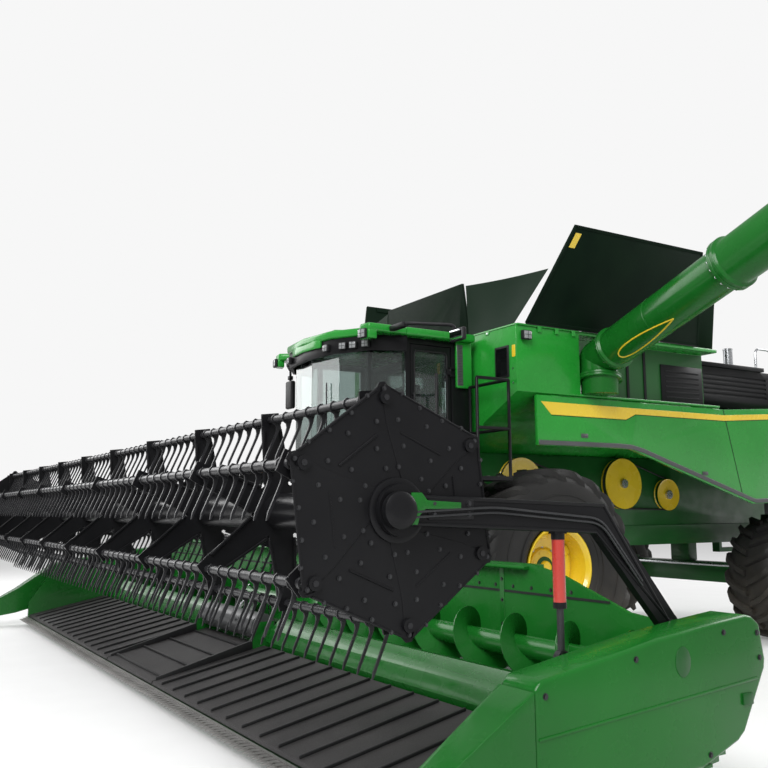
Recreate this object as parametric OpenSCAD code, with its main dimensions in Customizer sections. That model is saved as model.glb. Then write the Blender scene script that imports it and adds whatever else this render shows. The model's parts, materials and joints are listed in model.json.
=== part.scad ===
// Combine harvester with a wide belt header and its reel raised.
// Millimetres. The working frame has its origin on the ground under the front axle,
// +X to the machine's left, +Y to its rear and +Z up; placed() moves it to the bottom
// centre of the whole machine, with the unloading auger swung out to the left.

/* [Wheels and axles] */
// Diameter of the front tyres over their lugs
front_tyre_d = 2050; // [1850:10:2150]
// Width of the front tyres
front_tyre_w = 800; // [600:10:820]
// Distance between the front wheels' middles
front_track = 2900; // [2860:10:3100]
// Diameter of the front rims
front_rim_d = 860; // [820:10:1000]
// Diameter of the rear tyres over their lugs
rear_tyre_d = 1550; // [1400:10:1600]
// Width of the rear tyres
rear_tyre_w = 650; // [500:10:660]
// Distance between the rear wheels' middles
rear_track = 3100; // [3080:10:3300]
// Diameter of the rear rims
rear_rim_d = 730; // [650:10:800]
// Distance from the front axle to the rear axle
wheelbase = 3950; // [3900:10:4050]
// Distance between the steering kingpins
kingpin_track = 2160; // [2140:10:2200]
// Radius of the front wheel spindles
front_spindle_r = 110; // [80:1:130]
// Radius of the rear wheel spindles
rear_spindle_r = 60; // [45:1:80]
// Height of the tread lugs
lug_h = 55; // [30:1:70]
// Reach of the steering arms ahead of the kingpins
steer_arm = 250; // [220:5:290]

/* [Chassis and body] */
// Half width of the chassis over its rails
chassis_half = 810; // [790:5:820]
// Width of one chassis rail
rail_w = 110; // [80:5:115]
// Height of the chassis rails' underside
rail_z = 1180; // [1178:1:1200]
// Height of one chassis rail
rail_h = 240; // [180:5:260]
// Length of the threshing body behind the front axle
body_rear = 4700; // [4600:10:4760]
// Height of the threshing body under the grain tank
body_top = 2250; // [2200:10:2300]
// Height of the threshing body behind the tank
engine_floor = 2900; // [2850:10:2950]
// Half width over the side panels
side_half = 1730; // [1700:5:1760]
// Thickness of the side panels
panel_t = 40; // [20:1:50]
// Height of the side panels' lower edge at the front
panel_low_front = 2280; // [2240:10:2320]
// Height of the side panels' lower edge over the rear wheels
panel_low_rear = 1680; // [1660:5:1740]
// Height of the side panels' top edge at the front
panel_top = 2805; // [2790:5:2810]
// How much the side panels rise to the rear
panel_rise = 130; // [60:5:160]
// Rear end of the tail hood
hood_rear = 5800; // [5600:10:6000]

/* [Grain tank] */
// Front wall of the grain tank, ahead of the front axle
tank_front = 450; // [430:5:460]
// Rear wall of the grain tank, behind the front axle
tank_rear = 2700; // [2600:10:2740]
// Height of the grain tank's rim
tank_rim = 3540; // [3500:10:3580]
// Thickness of the tank's walls
tank_wall = 40; // [25:1:60]
// Height of the open side covers along their slope
cover_h = 1090; // [1000:10:1150]
// Lean of the open side covers outwards from upright
cover_lean = 23; // [15:1:28]
// Height of the front and rear covers along their slope
end_cover_h = 670; // [600:10:720]
// Width of the front and rear covers
end_cover_w = 1720; // [1500:10:1760]
// Height up the side covers at which the fabric corners are fastened
cloth_h = 600; // [500:10:650]
// Thickness of the covers
cover_t = 30; // [20:1:40]

/* [Unloading auger] */
// Height of the auger's elbow
elbow_z = 3250; // [3240:5:3270]
// Distance of the elbow behind the front axle
elbow_y = 700; // [680:5:760]
// Reach of the auger from its elbow
auger_reach = 7900; // [7000:50:8200]
// Radius of the inner auger tube
tube_r1 = 210; // [190:5:212]
// Radius of the outer auger tube
tube_r2 = 230; // [215:5:235]
// Where the outer tube starts along the auger
tube_split = 2100; // [1800:50:2400]
// Rise of the auger when swung out
auger_rise = 15.5; // [14:0.5:17]
// Radius of the spout at the auger's end
spout_r = 260; // [250:5:290]

/* [Cab] */
// Half width of the cab
cab_half = 1020; // [980:5:1040]
// Front of the cab's glass at its middle, ahead of the front axle
cab_front = 1950; // [1880:10:1990]
// Rear wall of the cab, ahead of the front axle
cab_back = 520; // [505:5:540]
// Height of the cab floor's underside
cab_floor = 1930; // [1920:5:1960]
// Height of the cab roof's underside
cab_roof_z = 3420; // [3380:10:3460]
// Thickness of the cab roof at its edge
roof_t = 90; // [70:5:110]
// Width of the cab door
door_w = 520; // [480:10:540]
// Thickness of the glass
glass_t = 8; // [5:1:12]

/* [Feeder house] */
// Half width of the feeder house
feeder_half = 680; // [640:5:685]
// Height of the feeder house's pivot
feeder_pivot_z = 1650; // [1630:5:1670]
// Distance of the feeder house's pivot ahead of the front axle
feeder_pivot_y = 400; // [390:5:410]
// Radius of the lift cylinders
lift_r = 55; // [40:1:60]

/* [Header] */
// Half width of the header between its end sheets
header_half = 5240; // [4800:20:5400]
// Width of one outer end shield
end_shield_w = 250; // [200:10:300]
// Distance of the header's back sheet ahead of the front axle
back_sheet_y = 2080; // [2075:1:2090]
// Top of the back sheet
back_sheet_top = 1240; // [1220:5:1260]
// Distance of the knife ahead of the front axle
knife_y = 3870; // [3820:10:3900]
// Height of the belts at the knife
belt_z = 150; // [140:5:170]
// Slope of the belts
belt_slope = 12; // [10:0.5:13]
// Length of the belts from front to rear
belt_len = 1090; // [1040:10:1100]
// Half width of the centre belt
centre_half = 770; // [740:5:790]
// Height of the cross auger's axis
cross_z = 730; // [720:5:745]
// Distance of the cross auger's axis ahead of the front axle
cross_y = 2400; // [2390:5:2410]
// Radius of the cross auger over its flights
flight_r = 210; // [190:5:215]
// Radius of the cross auger's tube
cross_tube_r = 75; // [60:1:90]
// Distance from the knife to the tips of the crop dividers
divider_len = 930; // [880:10:1000]

/* [Reel] */
// Height of the reel's axis
reel_z = 1620; // [1610:5:1650]
// Distance of the reel's axis ahead of the front axle
reel_y = 4135; // [4120:5:4160]
// Radius of the circle of tine bars
bat_circle_r = 523; // [490:1:530]
// Angle of the first tine bar ahead of upright
reel_phase = 6.5; // [0:0.5:20]
// Offset of the end shields' axis behind the reel's axis
crank = 35; // [30:1:40]
// Radius of the reel's centre tube
reel_tube_r = 100; // [80:1:110]
// Radius of one tine bar
bat_r = 22; // [18:1:24]
// Length of the tines
tine_len = 260; // [200:5:280]
// Tilt of the tines ahead of hanging straight down
tine_tilt = 15; // [0:1:20]
// Tines in each bay of the reel
tines_per_bay = 8; // [4:1:10]
// Corner radius of the hexagonal end shields
shield_r = 600; // [580:5:610]
// Height of the reel arms' pivot
arm_pivot_z = 1000; // [995:1:1010]
// Radius of the reel lift cylinders
reel_cyl_r = 32; // [26:1:34]

/* [Clearances] */
// Radial running clearance of shafts and pins
fit = 0.05; // [0.02:0.01:0.08]
// Gap between pieces that sit on one another
seat = 0.3; // [0.2:0.05:0.5]

/* [Hidden] */
$fn = 64;
green = "#2a9a2e";
dark_green = "#1c5a22";
black = "#1c1c1e";
steel = "#9a9ca0";
grey = "#3a3a3c";
yellow = "#e8d22a";
glass = "#30404a";
red = "#b5301c";

front_z = front_tyre_d / 2;
rear_z = rear_tyre_d / 2;
front_x = front_track / 2;
rear_x = rear_track / 2;
king_x = kingpin_track / 2;
rail_top = rail_z + rail_h;
panel_hinge_z = panel_top - 5;
bays = 9;

// Direction of the unloading auger, and the tilted axis on which it swings
auger_yaw = -8.5;
elbow_x = side_half + 10;
swing_tilt_x = -6.8;
swing_tilt_y = -7.6;
swing_drop = 225;
auger_end_x = elbow_x + auger_reach * cos(auger_rise) * cos(auger_yaw);
auger_end_y = elbow_y + auger_reach * cos(auger_rise) * sin(auger_yaw);
auger_end_z = elbow_z + auger_reach * sin(auger_rise);

// Bounds of the machine, which place the origin
shield_out = header_half + 50 + end_shield_w;
nose_y = knife_y + divider_len;
centre_x = (auger_end_x + spout_r - shield_out) / 2;
centre_y = (hood_rear - nose_y) / 2;

module placed() translate([-centre_x, -centre_y, 0]) children();

// A plate or prism whose outline is drawn as [y, z] points, from x0 to x1
module side_plate(points, x0, x1)
    translate([x0, 0, 0]) rotate([90, 0, 90]) linear_extrude(x1 - x0) polygon(points);
// A plate or prism whose outline is drawn as [x, z] points, from y0 to y1
module front_plate(points, y0, y1)
    translate([0, y1, 0]) rotate([90, 0, 0]) linear_extrude(y1 - y0) polygon(points);
// A box between two corners
module block(a, b) translate(a) cube(b - a);
// A round bar along X at [y, z]
module bar_x(r, y, z, x0, x1) translate([x0, y, z]) rotate([0, 90, 0]) cylinder(r = r, h = x1 - x0);
// A round bar along Y at [x, z]
module bar_y(r, x, z, y0, y1) translate([x, y0, z]) rotate([-90, 0, 0]) cylinder(r = r, h = y1 - y0);
// A round bar along Z at [x, y]
module bar_z(r, x, y, z0, z1) translate([x, y, z0]) cylinder(r = r, h = z1 - z0);
// A round bar between two points
module bar(r, a, b) {
    d = b - a;
    l = norm(d);
    translate(a) rotate([0, acos(d[2] / l), atan2(d[1], d[0])]) cylinder(r = r, h = l);
}
// Both sides of the machine
module both() {
    children();
    mirror([1, 0, 0]) children();
}

// Tyres and rims, drawn on the X axis with the outer side towards +X

// Lugs on each half of a tread
front_lugs = 22;
rear_lugs = 19;

module tyre_ring(d, w, rim_d, count) {
    r = d / 2;
    shoulder = w / 2 - 80;
    wall = 0.42 * (r - rim_d / 2);
    rotate([0, 90, 0]) rotate_extrude() polygon([
        [rim_d / 2 + seat, -w / 2 + 90],
        [rim_d / 2 + 40, -w / 2 + 50],
        [r - wall, -w / 2],
        [r - lug_h - 60, -w / 2 + 20],
        [r - lug_h, -shoulder],
        [r - lug_h, shoulder],
        [r - lug_h - 60, w / 2 - 20],
        [r - wall, w / 2],
        [rim_d / 2 + 40, w / 2 - 50],
        [rim_d / 2 + seat, w / 2 - 90]
    ]);
    for (k = [0:count - 1]) {
        rotate([360 / count * k, 0, 0]) lug(r, w);
        rotate([360 / count * (k + 0.5), 0, 0]) mirror([1, 0, 0]) lug(r, w);
    }
}

// A lug bends back from the tread's middle to its shoulder; its corners reach the tyre's full radius
lug_t = 50;
lug_reach = 0.17;
module lug(r, w) {
    reach = lug_reach * w;
    root = r - lug_h - 70;
    translate([0, 0, root]) linear_extrude(sqrt(pow(r, 2) - pow(reach + lug_t, 2)) - root) polygon([
        [12, -reach - lug_t / 2],
        [w / 4, -reach / 3 - lug_t / 2],
        [w / 2 - 12, reach - lug_t / 3],
        [w / 2 - 12, reach + lug_t],
        [w / 4 - lug_t / 3, -reach / 3 + lug_t],
        [12, -reach + lug_t / 2]
    ]);
}

module rim_ring(d, w, hub_r, disc_x) {
    r = d / 2;
    rotate([0, 90, 0]) rotate_extrude() polygon([
        [hub_r + fit, disc_x - 60],
        [hub_r + 70, disc_x - 60],
        [hub_r + 90, disc_x - 12],
        [r * 0.72, disc_x + 20],
        [r - 60, disc_x + 20],
        [r - 40, disc_x - 40],
        [r - 40, -w / 2 + 90],
        [r, -w / 2 + 60],
        [r, w / 2 - 60],
        [r - 40, w / 2 - 90],
        [r - 40, disc_x + 60],
        [r * 0.7, disc_x + 60],
        [hub_r + 90, disc_x + 30],
        [hub_r + 70, disc_x + 70],
        [hub_r + fit, disc_x + 70]
    ]);
}

front_disc_x = 40;
rear_disc_x = 20;
module front_tyre() translate([front_x, 0, front_z]) tyre_ring(front_tyre_d, front_tyre_w, front_rim_d, front_lugs);
module rear_tyre() translate([rear_x, wheelbase, rear_z]) tyre_ring(rear_tyre_d, rear_tyre_w, rear_rim_d, rear_lugs);
module front_rim()
    translate([front_x, 0, front_z]) rim_ring(front_rim_d, front_tyre_w, front_spindle_r, front_disc_x);
module rear_rim()
    translate([rear_x, wheelbase, rear_z]) rim_ring(rear_rim_d, rear_tyre_w, rear_spindle_r, rear_disc_x);

module tyre_front_left() color(black) placed() front_tyre();
module tyre_front_right() color(black) placed() mirror([1, 0, 0]) front_tyre();
module tyre_rear_left() color(black) placed() rear_tyre();
module tyre_rear_right() color(black) placed() mirror([1, 0, 0]) rear_tyre();
module rim_front_left() color(yellow) placed() front_rim();
module rim_front_right() color(yellow) placed() mirror([1, 0, 0]) front_rim();
module rim_rear_left() color(yellow) placed() rear_rim();
module rim_rear_right() color(yellow) placed() mirror([1, 0, 0]) rear_rim();

// Chassis, axles and steering

hitch_y = body_rear + 400;
hitch_z = 1000;
hitch_bore_r = 20;
rail_front = 700;
module chassis_frame() color(dark_green) placed() difference() {
    union() {
        both() {
            block([chassis_half - rail_w, -rail_front, rail_z], [chassis_half, body_rear + 50, rail_top]);
            block([chassis_half - 40, -rail_front, rail_z + 10], [chassis_half, -rail_front + 170, cab_floor - seat]);
        }
        for (y = [-250, 900, 2300, wheelbase - 60, body_rear - 60])
            block([-chassis_half + 10, y, rail_z + 10], [chassis_half - 10, y + 120, rail_top - 90]);
        block([-150, wheelbase - 90, rear_z + 135 + seat], [150, wheelbase + 90, rail_z + 60]);
        block([-60, body_rear - 60, hitch_z], [60, body_rear, rail_z + 60]);
        block([-60, body_rear - 60, hitch_z], [60, hitch_y + 60, hitch_z + 60]);
    }
    bar_z(hitch_bore_r, 0, hitch_y, hitch_z - 1, hitch_z + 61);
}

axle_half = 980;
lift_base = [160, -75];
lift_x = 480;
lift_ear = 72;
lift_eye = 57;
module front_axle() color(dark_green) placed() {
    block([-axle_half, -150, rail_z - 305], [axle_half, 150, rail_z - seat]);
    both() {
        bar_x(290, 0, front_z, axle_half - 80, front_x - 370);
        bar_x(front_spindle_r, 0, front_z, axle_half - 80, front_x + front_disc_x + 60);
        for (s = [-1, 1])
            side_plate([[-140, front_z - 130], [-140, front_z], [-230, front_z], [-230, front_z - 130]],
                lift_x + s * lift_ear - 12, lift_x + s * lift_ear + 12);
        bar_x(25, -lift_base[0] - 35, front_z + lift_base[1], lift_x - lift_ear - 12, lift_x + lift_ear + 12);
    }
}

yoke_out = king_x + 70;
king_r = 35;
beam_end = king_x - 120;
yoke_gap = 130;
module rear_axle() color(dark_green) placed() difference() {
    union() {
        block([-beam_end, wheelbase - 110, rear_z - yoke_gap], [beam_end, wheelbase + 110, rear_z + yoke_gap]);
        both() for (z = [rear_z - yoke_gap - 40, rear_z + yoke_gap - 5])
            block([beam_end - 60, wheelbase - 80, z], [yoke_out, wheelbase + 80, z + 45]);
        block([-140, wheelbase - 80, rear_z + yoke_gap - 5], [140, wheelbase + 80, rear_z + 135]);
    }
    both() bar_z(king_r + fit, king_x, wheelbase, rear_z - 200, rear_z + 200);
}

module knuckle() {
    block([king_x - 75, wheelbase - 70, rear_z - yoke_gap + 10], [king_x + 75, wheelbase + 70, rear_z + yoke_gap - 10]);
    bar_z(king_r, king_x, wheelbase, rear_z - yoke_gap - 45, rear_z + yoke_gap + 45);
    bar_x(rear_spindle_r, wheelbase, rear_z, king_x, rear_x + rear_disc_x + 60);
    block([king_x - 35, wheelbase - steer_arm - 35, rear_z + 60], [king_x + 35, wheelbase - 60, rear_z + 85]);
    bar_z(14, king_x, wheelbase - steer_arm, rear_z + 60, rear_z + 130);
}
module knuckle_left() color(dark_green) placed() knuckle();
module knuckle_right() color(dark_green) placed() mirror([1, 0, 0]) knuckle();

module tie_rod() color(steel) placed() difference() {
    union() {
        bar_x(20, wheelbase - steer_arm, rear_z + 110, -king_x + 20, king_x - 20);
        both() bar_z(32, king_x, wheelbase - steer_arm, rear_z + 90, rear_z + 130);
    }
    both() bar_z(14 + fit, king_x, wheelbase - steer_arm, rear_z + 50, rear_z + 150);
}

// Threshing body, tank and tail

ear_in = feeder_half + 10;
body_half = chassis_half - 10;
pivot_r = 60;
// Each drive pulley on the left side: y, z, radius, width
PULLEYS = [[300, 1900, 300, 60], [1150, 1750, 210, 60], [1900, 1930, 300, 70], [2700, 1800, 190, 60]];
module separator_body() color(dark_green) placed() difference() {
    union() {
        block([-body_half, -250, rail_top + seat], [body_half, body_rear, body_top]);
        block([-body_half, tank_rear + seat, body_top - 1], [body_half, body_rear, engine_floor]);
        block([-600, 1400, 1300], [600, 2290, rail_top + 1]);
        both() side_plate([[-240, feeder_pivot_z - 130], [-feeder_pivot_y - 110, feeder_pivot_z - 90],
            [-feeder_pivot_y - 110, feeder_pivot_z + 90], [-240, feeder_pivot_z + 130]], ear_in, ear_in + 60);
        for (p = PULLEYS) bar_x(p[2], p[0], p[1], body_half - 10, body_half + p[3]);
        both() {
            for (y = [3300, 4400]) panel_support(y, body_half - 10);
            block([body_half - 10, tank_rear + 10, 2745], [side_half - panel_t - 8, body_rear, 2765]);
        }
    }
    both() bar_x(pivot_r + fit, -feeder_pivot_y, feeder_pivot_z, ear_in - 5, ear_in + 70);
}

// A bracket that a side panel rests against, just under the panel's hinge line
module panel_support(y, x0) block([x0, y, panel_hinge_z - 85], [side_half - panel_t - seat, y + 60, panel_hinge_z - 35]);

// The tank's left side is set back behind the auger's elbow, so that the auger can stow there
recess_y = 430;
recess_x = elbow_x - tube_r1 - 40;
ledge_z = 2830;
neck_half = body_half - 40;
module tank_outline(inset) {
    half = side_half - 10 - inset;
    low = body_top + seat + inset;
    polygon([[-half, tank_rim + 1], [-half, ledge_z], [-neck_half - 420 + inset, 2560 + inset / 2], [-neck_half + inset, low],
        [neck_half - inset, low], [neck_half + 420 - inset, 2560 + inset / 2], [half, ledge_z], [half, tank_rim + 1]]);
}
loading_tube_r = 150;
module grain_tank() color(green) placed() difference() {
    union() {
        difference() {
            translate([0, tank_rear, 0]) rotate([90, 0, 0]) linear_extrude(tank_rear + tank_front) tank_outline(0);
            translate([0, tank_rear - tank_wall, 0]) rotate([90, 0, 0])
                linear_extrude(tank_rear + tank_front - 2 * tank_wall) tank_outline(tank_wall);
            block([-4000, -2000, tank_rim], [4000, 4000, tank_rim + 100]);
        }
        // walls of the recess
        block([recess_x - tank_wall, recess_y - tank_wall, ledge_z - 40], [recess_x, tank_rear - 1, tank_rim]);
        block([recess_x - tank_wall, recess_y - tank_wall, ledge_z], [side_half - 11, recess_y, tank_rim]);
        block([recess_x - 10, recess_y - 10, ledge_z - 20], [side_half - 50, tank_rear - 1, ledge_z + 20]);
        block([recess_x - tank_wall, recess_y - tank_wall, tank_rim - 40], [side_half - 11, tank_rear - 1, tank_rim]);
        both() for (y = [0, 1200, 2400]) panel_support(y, side_half - 180);
        // loading auger that rises through the tank's middle
        bar(loading_tube_r, [0, tank_rear - 500, body_top + tank_wall + 90], [0, 1000, 3600]);
    }
    // the recess itself, under the rim's shelf
    block([recess_x, recess_y, ledge_z + 20], [side_half + 10, tank_rear + 10, tank_rim - 40]);
}

tube_end_gap = spout_r + 40;
// The auger's fixed tower on the ledge, up to the swing plane
tower_r = tube_r1;
module along_auger() translate([elbow_x, elbow_y, elbow_z]) rotate([0, 90 - auger_rise, auger_yaw]) children();
module swing_frame() translate([elbow_x, elbow_y, elbow_z]) rotate([swing_tilt_y, swing_tilt_x, 0]) children();
module unload_tower() color(green) placed() difference() {
    swing_frame() {
        translate([0, 0, -700]) cylinder(r = tower_r - 10, h = 700 - swing_drop - seat);
        translate([0, 0, -swing_drop - 30]) cylinder(r = tower_r + 30, h = 30 - seat);
    }
    block([0, -200, 2000], [3000, 2000, ledge_z + 20 + seat]);
}
module unload_tube() color(green) placed() {
    swing_frame() {
        translate([0, 0, -swing_drop]) cylinder(r = tower_r + 30, h = 30);
        translate([0, 0, -swing_drop]) cylinder(r = tower_r, h = swing_drop);
        sphere(r = tube_r1 + 4);
    }
    along_auger() {
        cylinder(r = tube_r1, h = tube_split);
        translate([0, 0, tube_r1 + 60]) cylinder(r = tube_r1 + 25, h = 40);
        translate([0, 0, tube_split - 60]) cylinder(r = tube_r2 + 30, h = 80);
        translate([0, 0, tube_split]) cylinder(r = tube_r2, h = auger_reach - tube_split - tube_end_gap);
    }
}
spout_wall = 20;
module unload_spout() color(black) placed() difference() {
    union() {
        translate([auger_end_x, auger_end_y, auger_end_z - 520]) cylinder(r = spout_r, h = 700);
        along_auger() translate([0, 0, auger_reach - 2 * spout_r]) cylinder(r = tube_r2 + 10, h = 2 * spout_r - 60);
    }
    translate([auger_end_x, auger_end_y, auger_end_z - 521]) cylinder(r = spout_r - spout_wall, h = 641);
    along_auger() cylinder(r = tube_r2 + seat, h = auger_reach - tube_end_gap + seat);
    along_auger() translate([0, 0, auger_reach - tube_end_gap - 1]) cylinder(r = tube_r2 - 10, h = tube_end_gap - 60);
}

// Tank covers, each drawn upright on its hinge line and leaned by its own angle

cover_y0 = -tank_front + 120;
cover_y1 = tank_rear - 370;
hinge_r = 10;
hinge_len = 120;
cover_hinge_z = tank_rim + hinge_r + seat;
end_hinge_z = tank_rim - 45;
module side_cover() translate([side_half - 10, 0, cover_hinge_z]) rotate([0, cover_lean, 0]) {
    side_plate([[cover_y0, 5], [cover_y1, 5], [cover_y1 - 350, cover_h], [cover_y0 + 350, cover_h]], 0, cover_t);
    for (y = [cover_y0 + 200, (cover_y0 + cover_y1) / 2, cover_y1 - 200]) bar_y(hinge_r, 0, 0, y - hinge_len / 2, y + hinge_len / 2);
}
module cover_left() color(black) placed() side_cover();
module cover_right() color(black) placed() mirror([1, 0, 0]) side_cover();
end_lean = 4;
// s is 1 for the front cover and -1 for the rear one, and y is the inner face of the wall that carries it
module end_cover(y, s) translate([0, y + s * (hinge_r + seat), end_hinge_z]) rotate([s * end_lean, 0, 0]) {
    front_plate([[-end_cover_w / 2, 5], [end_cover_w / 2, 5], [end_cover_w / 2 - 60, end_cover_h], [-end_cover_w / 2 + 60, end_cover_h]],
        s > 0 ? -5 : 5 - cover_t, s > 0 ? cover_t - 5 : 5);
    for (x = [-600, 0, 600]) bar_x(hinge_r, 0, 0, x - hinge_len / 2, x + hinge_len / 2);
}
module cover_front() color(dark_green) placed() end_cover(-tank_front + tank_wall, 1);
module cover_rear() color(dark_green) placed() end_cover(tank_rear - tank_wall, -1);

// Folding fabric corners between the covers, each of two flat sheets that share their longest edge
module sheet(a, b, c) hull() for (p = [a, b, c]) translate(p) cube(8, center = true);
module corner(s, y) {
    z0 = tank_rim + 4 + seat;
    inner = end_cover_w / 2 + 25;
    // the tip is fastened part of the way up the side cover's slanted edge
    tip = [side_half - 22 + cloth_h * sin(cover_lean), y + s * (60 + cloth_h * 350 / cover_h), cover_hinge_z + cloth_h * cos(cover_lean)];
    sheet([inner, y, z0], [inner - 40, y, tank_rim + end_cover_h - 80], tip);
    sheet([inner, y, z0], [side_half - 60, y, z0], tip);
}
module cover_corners() color(dark_green) placed() both() {
    corner(1, -tank_front + 20);
    corner(-1, tank_rear - 20);
}

module engine_block() color(grey) placed()
    block([-600, tank_rear + 200, engine_floor + seat], [600, body_rear - 500, engine_floor + 380]);

deck_half = 1300;
deck_top = 3420;
module engine_deck() color(grey) placed() difference() {
    union() {
        block([-deck_half, tank_rear + 50, engine_floor + seat], [deck_half, body_rear - 300, deck_top]);
        block([-deck_half - 60, tank_rear + 30, deck_top - 1], [deck_half + 60, body_rear - 600, deck_top + 50]);
    }
    block([-deck_half + 30, tank_rear + 80, engine_floor - 10], [deck_half - 30, body_rear - 330, deck_top - 30]);
    // louvres in both sides
    for (z = [louvre_z0:louvre_pitch:deck_top - 100])
        both() side_slot(z);
}
louvre_z0 = 3060;
louvre_pitch = 60;
module side_slot(z) block([deck_half - 12, tank_rear + 250, z], [deck_half + 1, body_rear - 500, z + 28]);

// A side panel's outline as [y, z] points: the front edge, the level and the sloping lower edge, the rear end
panel_front = -200;
panel_knee = 1140;
panel_rear = body_rear - 20;
module side_panel() {
    for (y = [0, 1300, 2550, 3600, 4500]) bar_y(hinge_r, side_half - 5, panel_hinge_z, y, y + hinge_len);
    side_plate([[panel_front, panel_top], [panel_front, panel_low_front], [panel_knee, panel_low_front],
    [wheelbase - 750, panel_low_rear], [panel_rear, panel_low_rear + 40],
    [panel_rear, panel_top + panel_rise], [tank_rear + 40, panel_top]], side_half - panel_t, side_half);
}
module side_panel_left() color(green) placed() side_panel();
module side_panel_right() color(green) placed() mirror([1, 0, 0]) side_panel();

hood_low = 1800;
module rear_hood() color(green) placed() intersection() {
    side_plate([[body_rear + seat, hood_low], [body_rear + seat, 2950], [body_rear + 300, 2970],
        [hood_rear - 250, 2860], [hood_rear, 2500], [hood_rear, 2050], [hood_rear - 250, hood_low]], -side_half, side_half);
    translate([0, 0, 1000]) linear_extrude(3000) polygon([[-side_half + 30, body_rear], [side_half - 30, body_rear],
        [side_half - 30, hood_rear - 500], [side_half - 350, hood_rear], [-side_half + 350, hood_rear],
        [-side_half + 30, hood_rear - 500]]);
}
module spreader() color(black) placed() {
    block([-700, body_rear + 60, 1420], [700, body_rear + 700, hood_low - seat]);
    for (x = [-350, 350]) {
        bar_z(60, x, body_rear + 400, 1200, 1425);
        bar_z(320, x, body_rear + 400, 1170, 1210);
        for (a = [0:60:300]) translate([x, body_rear + 400, 1209]) rotate([0, 0, a + 15]) block([50, -5, 0], [310, 5, 61]);
    }
}

// Cab

module cab_plan(d) polygon([[-cab_half + d, -cab_back - d], [-cab_half + d, -1400], [-cab_half + 150 + d, -1720],
    [-520, -cab_front + 60 + d], [0, -cab_front + d], [520, -cab_front + 60 + d],
    [cab_half - 150 - d, -1720], [cab_half - d, -1400], [cab_half - d, -cab_back - d]]);
module cab_band(z0, z1, d0, d1) translate([0, 0, z0]) linear_extrude(z1 - z0) difference() {
    cab_plan(d0);
    cab_plan(d1);
}
// Rear corner post, from the cab's back to the door's rear edge
corner_post = 255;
door_y1 = -cab_back - corner_post - 5;
door_y0 = door_y1 - door_w;
post_y = door_y0 - 60;
sill_z = cab_floor + 60;
head_z = cab_roof_z - 60;
door_gap = 6;
door_hinges = [sill_z + 250, head_z - 300];
door_hinge_h = 60;
visor_h = 160;
visor_out = 80;
module cab_frame() color(black) placed() difference() {
    union() {
        translate([0, 0, cab_floor]) linear_extrude(60) cab_plan(0);
        cab_band(head_z, cab_roof_z - seat, 0, 60);
        // dark visor that hangs outside the front panes
        difference() {
            union() {
                cab_band(cab_roof_z - visor_h, head_z + 1, -visor_out, -visor_out + 45);
                cab_band(head_z, cab_roof_z - seat, -visor_out, 1);
            }
            block([-2000, post_y - 30, cab_roof_z - visor_h - 1], [2000, 0, cab_roof_z]);
        }
        block([-cab_half, -cab_back - 50, cab_floor], [cab_half, -cab_back, cab_roof_z - seat]);
        both() {
            block([cab_half - 60, -cab_back - corner_post, cab_floor], [cab_half, -cab_back - 1, cab_roof_z - seat]);
            block([cab_half - 60, post_y, cab_floor], [cab_half, post_y + 55, head_z + 1]);
            bar_z(32, cab_half - 185, -1690, cab_floor, head_z + 1);
        }
        for (z = door_hinges) for (e = [z - 20 - seat, z + door_hinge_h + seat]) {
            block([cab_half + 4, door_y1 - door_gap - 2 * hinge_r, e], [hinge_x + hinge_r, door_y1 + 40, e + 20]);
            block([cab_half - 1, -cab_back - corner_post + 1, e], [cab_half + 5, door_y1 + 40, e + 20]);
        }
    }
    block([-700, -cab_back - 60, 2700], [700, -cab_back + 10, 3300]);
}
module cab_glass() color(glass) placed() {
    difference() {
        cab_band(sill_z + seat, head_z - seat, 10, 10 + glass_t);
        block([-cab_half - 10, post_y + 80, sill_z], [cab_half + 10, 0, head_z]);
        both() bar_z(32 + seat, cab_half - 185, -1690, sill_z - 1, head_z + 1);
        both() block([cab_half - 61, post_y - seat, sill_z], [cab_half + 1, post_y + 90, head_z]);
    }
    block([-cab_half + 20, door_y0 - 5 + seat, sill_z + seat], [-cab_half + 20 + glass_t, door_y1 + 5 - seat, head_z - seat]);
    block([-700 + seat, -cab_back - 30, 2700 + seat], [700 - seat, -cab_back - 30 + glass_t, 3300 - seat]);
}
hinge_x = cab_half + 12;
module cab_door() color(black) placed() {
    difference() {
        block([cab_half - 45, door_y0 + door_gap, sill_z + door_gap], [cab_half - 5, door_y1 - door_gap, head_z - door_gap]);
        block([cab_half - 50, door_y0 + 60, sill_z + 70], [cab_half, door_y1 - 60, head_z - 60]);
    }
    for (z = door_hinges) {
        block([cab_half - 6, door_y1 - 60, z], [hinge_x, door_y1 - door_gap - hinge_r, z + door_hinge_h]);
        bar_z(hinge_r, hinge_x, door_y1 - door_gap - hinge_r, z, z + door_hinge_h);
    }
    block([cab_half - 6, door_y0 + 15, 2550], [cab_half + 25, door_y0 + 45, 2800]);
}
module door_glass() color(glass) placed()
    block([cab_half - 30, door_y0 + 60 + seat, sill_z + 70 + seat], [cab_half - 30 + glass_t, door_y1 - 60 - seat, head_z - 60 - seat]);

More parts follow.
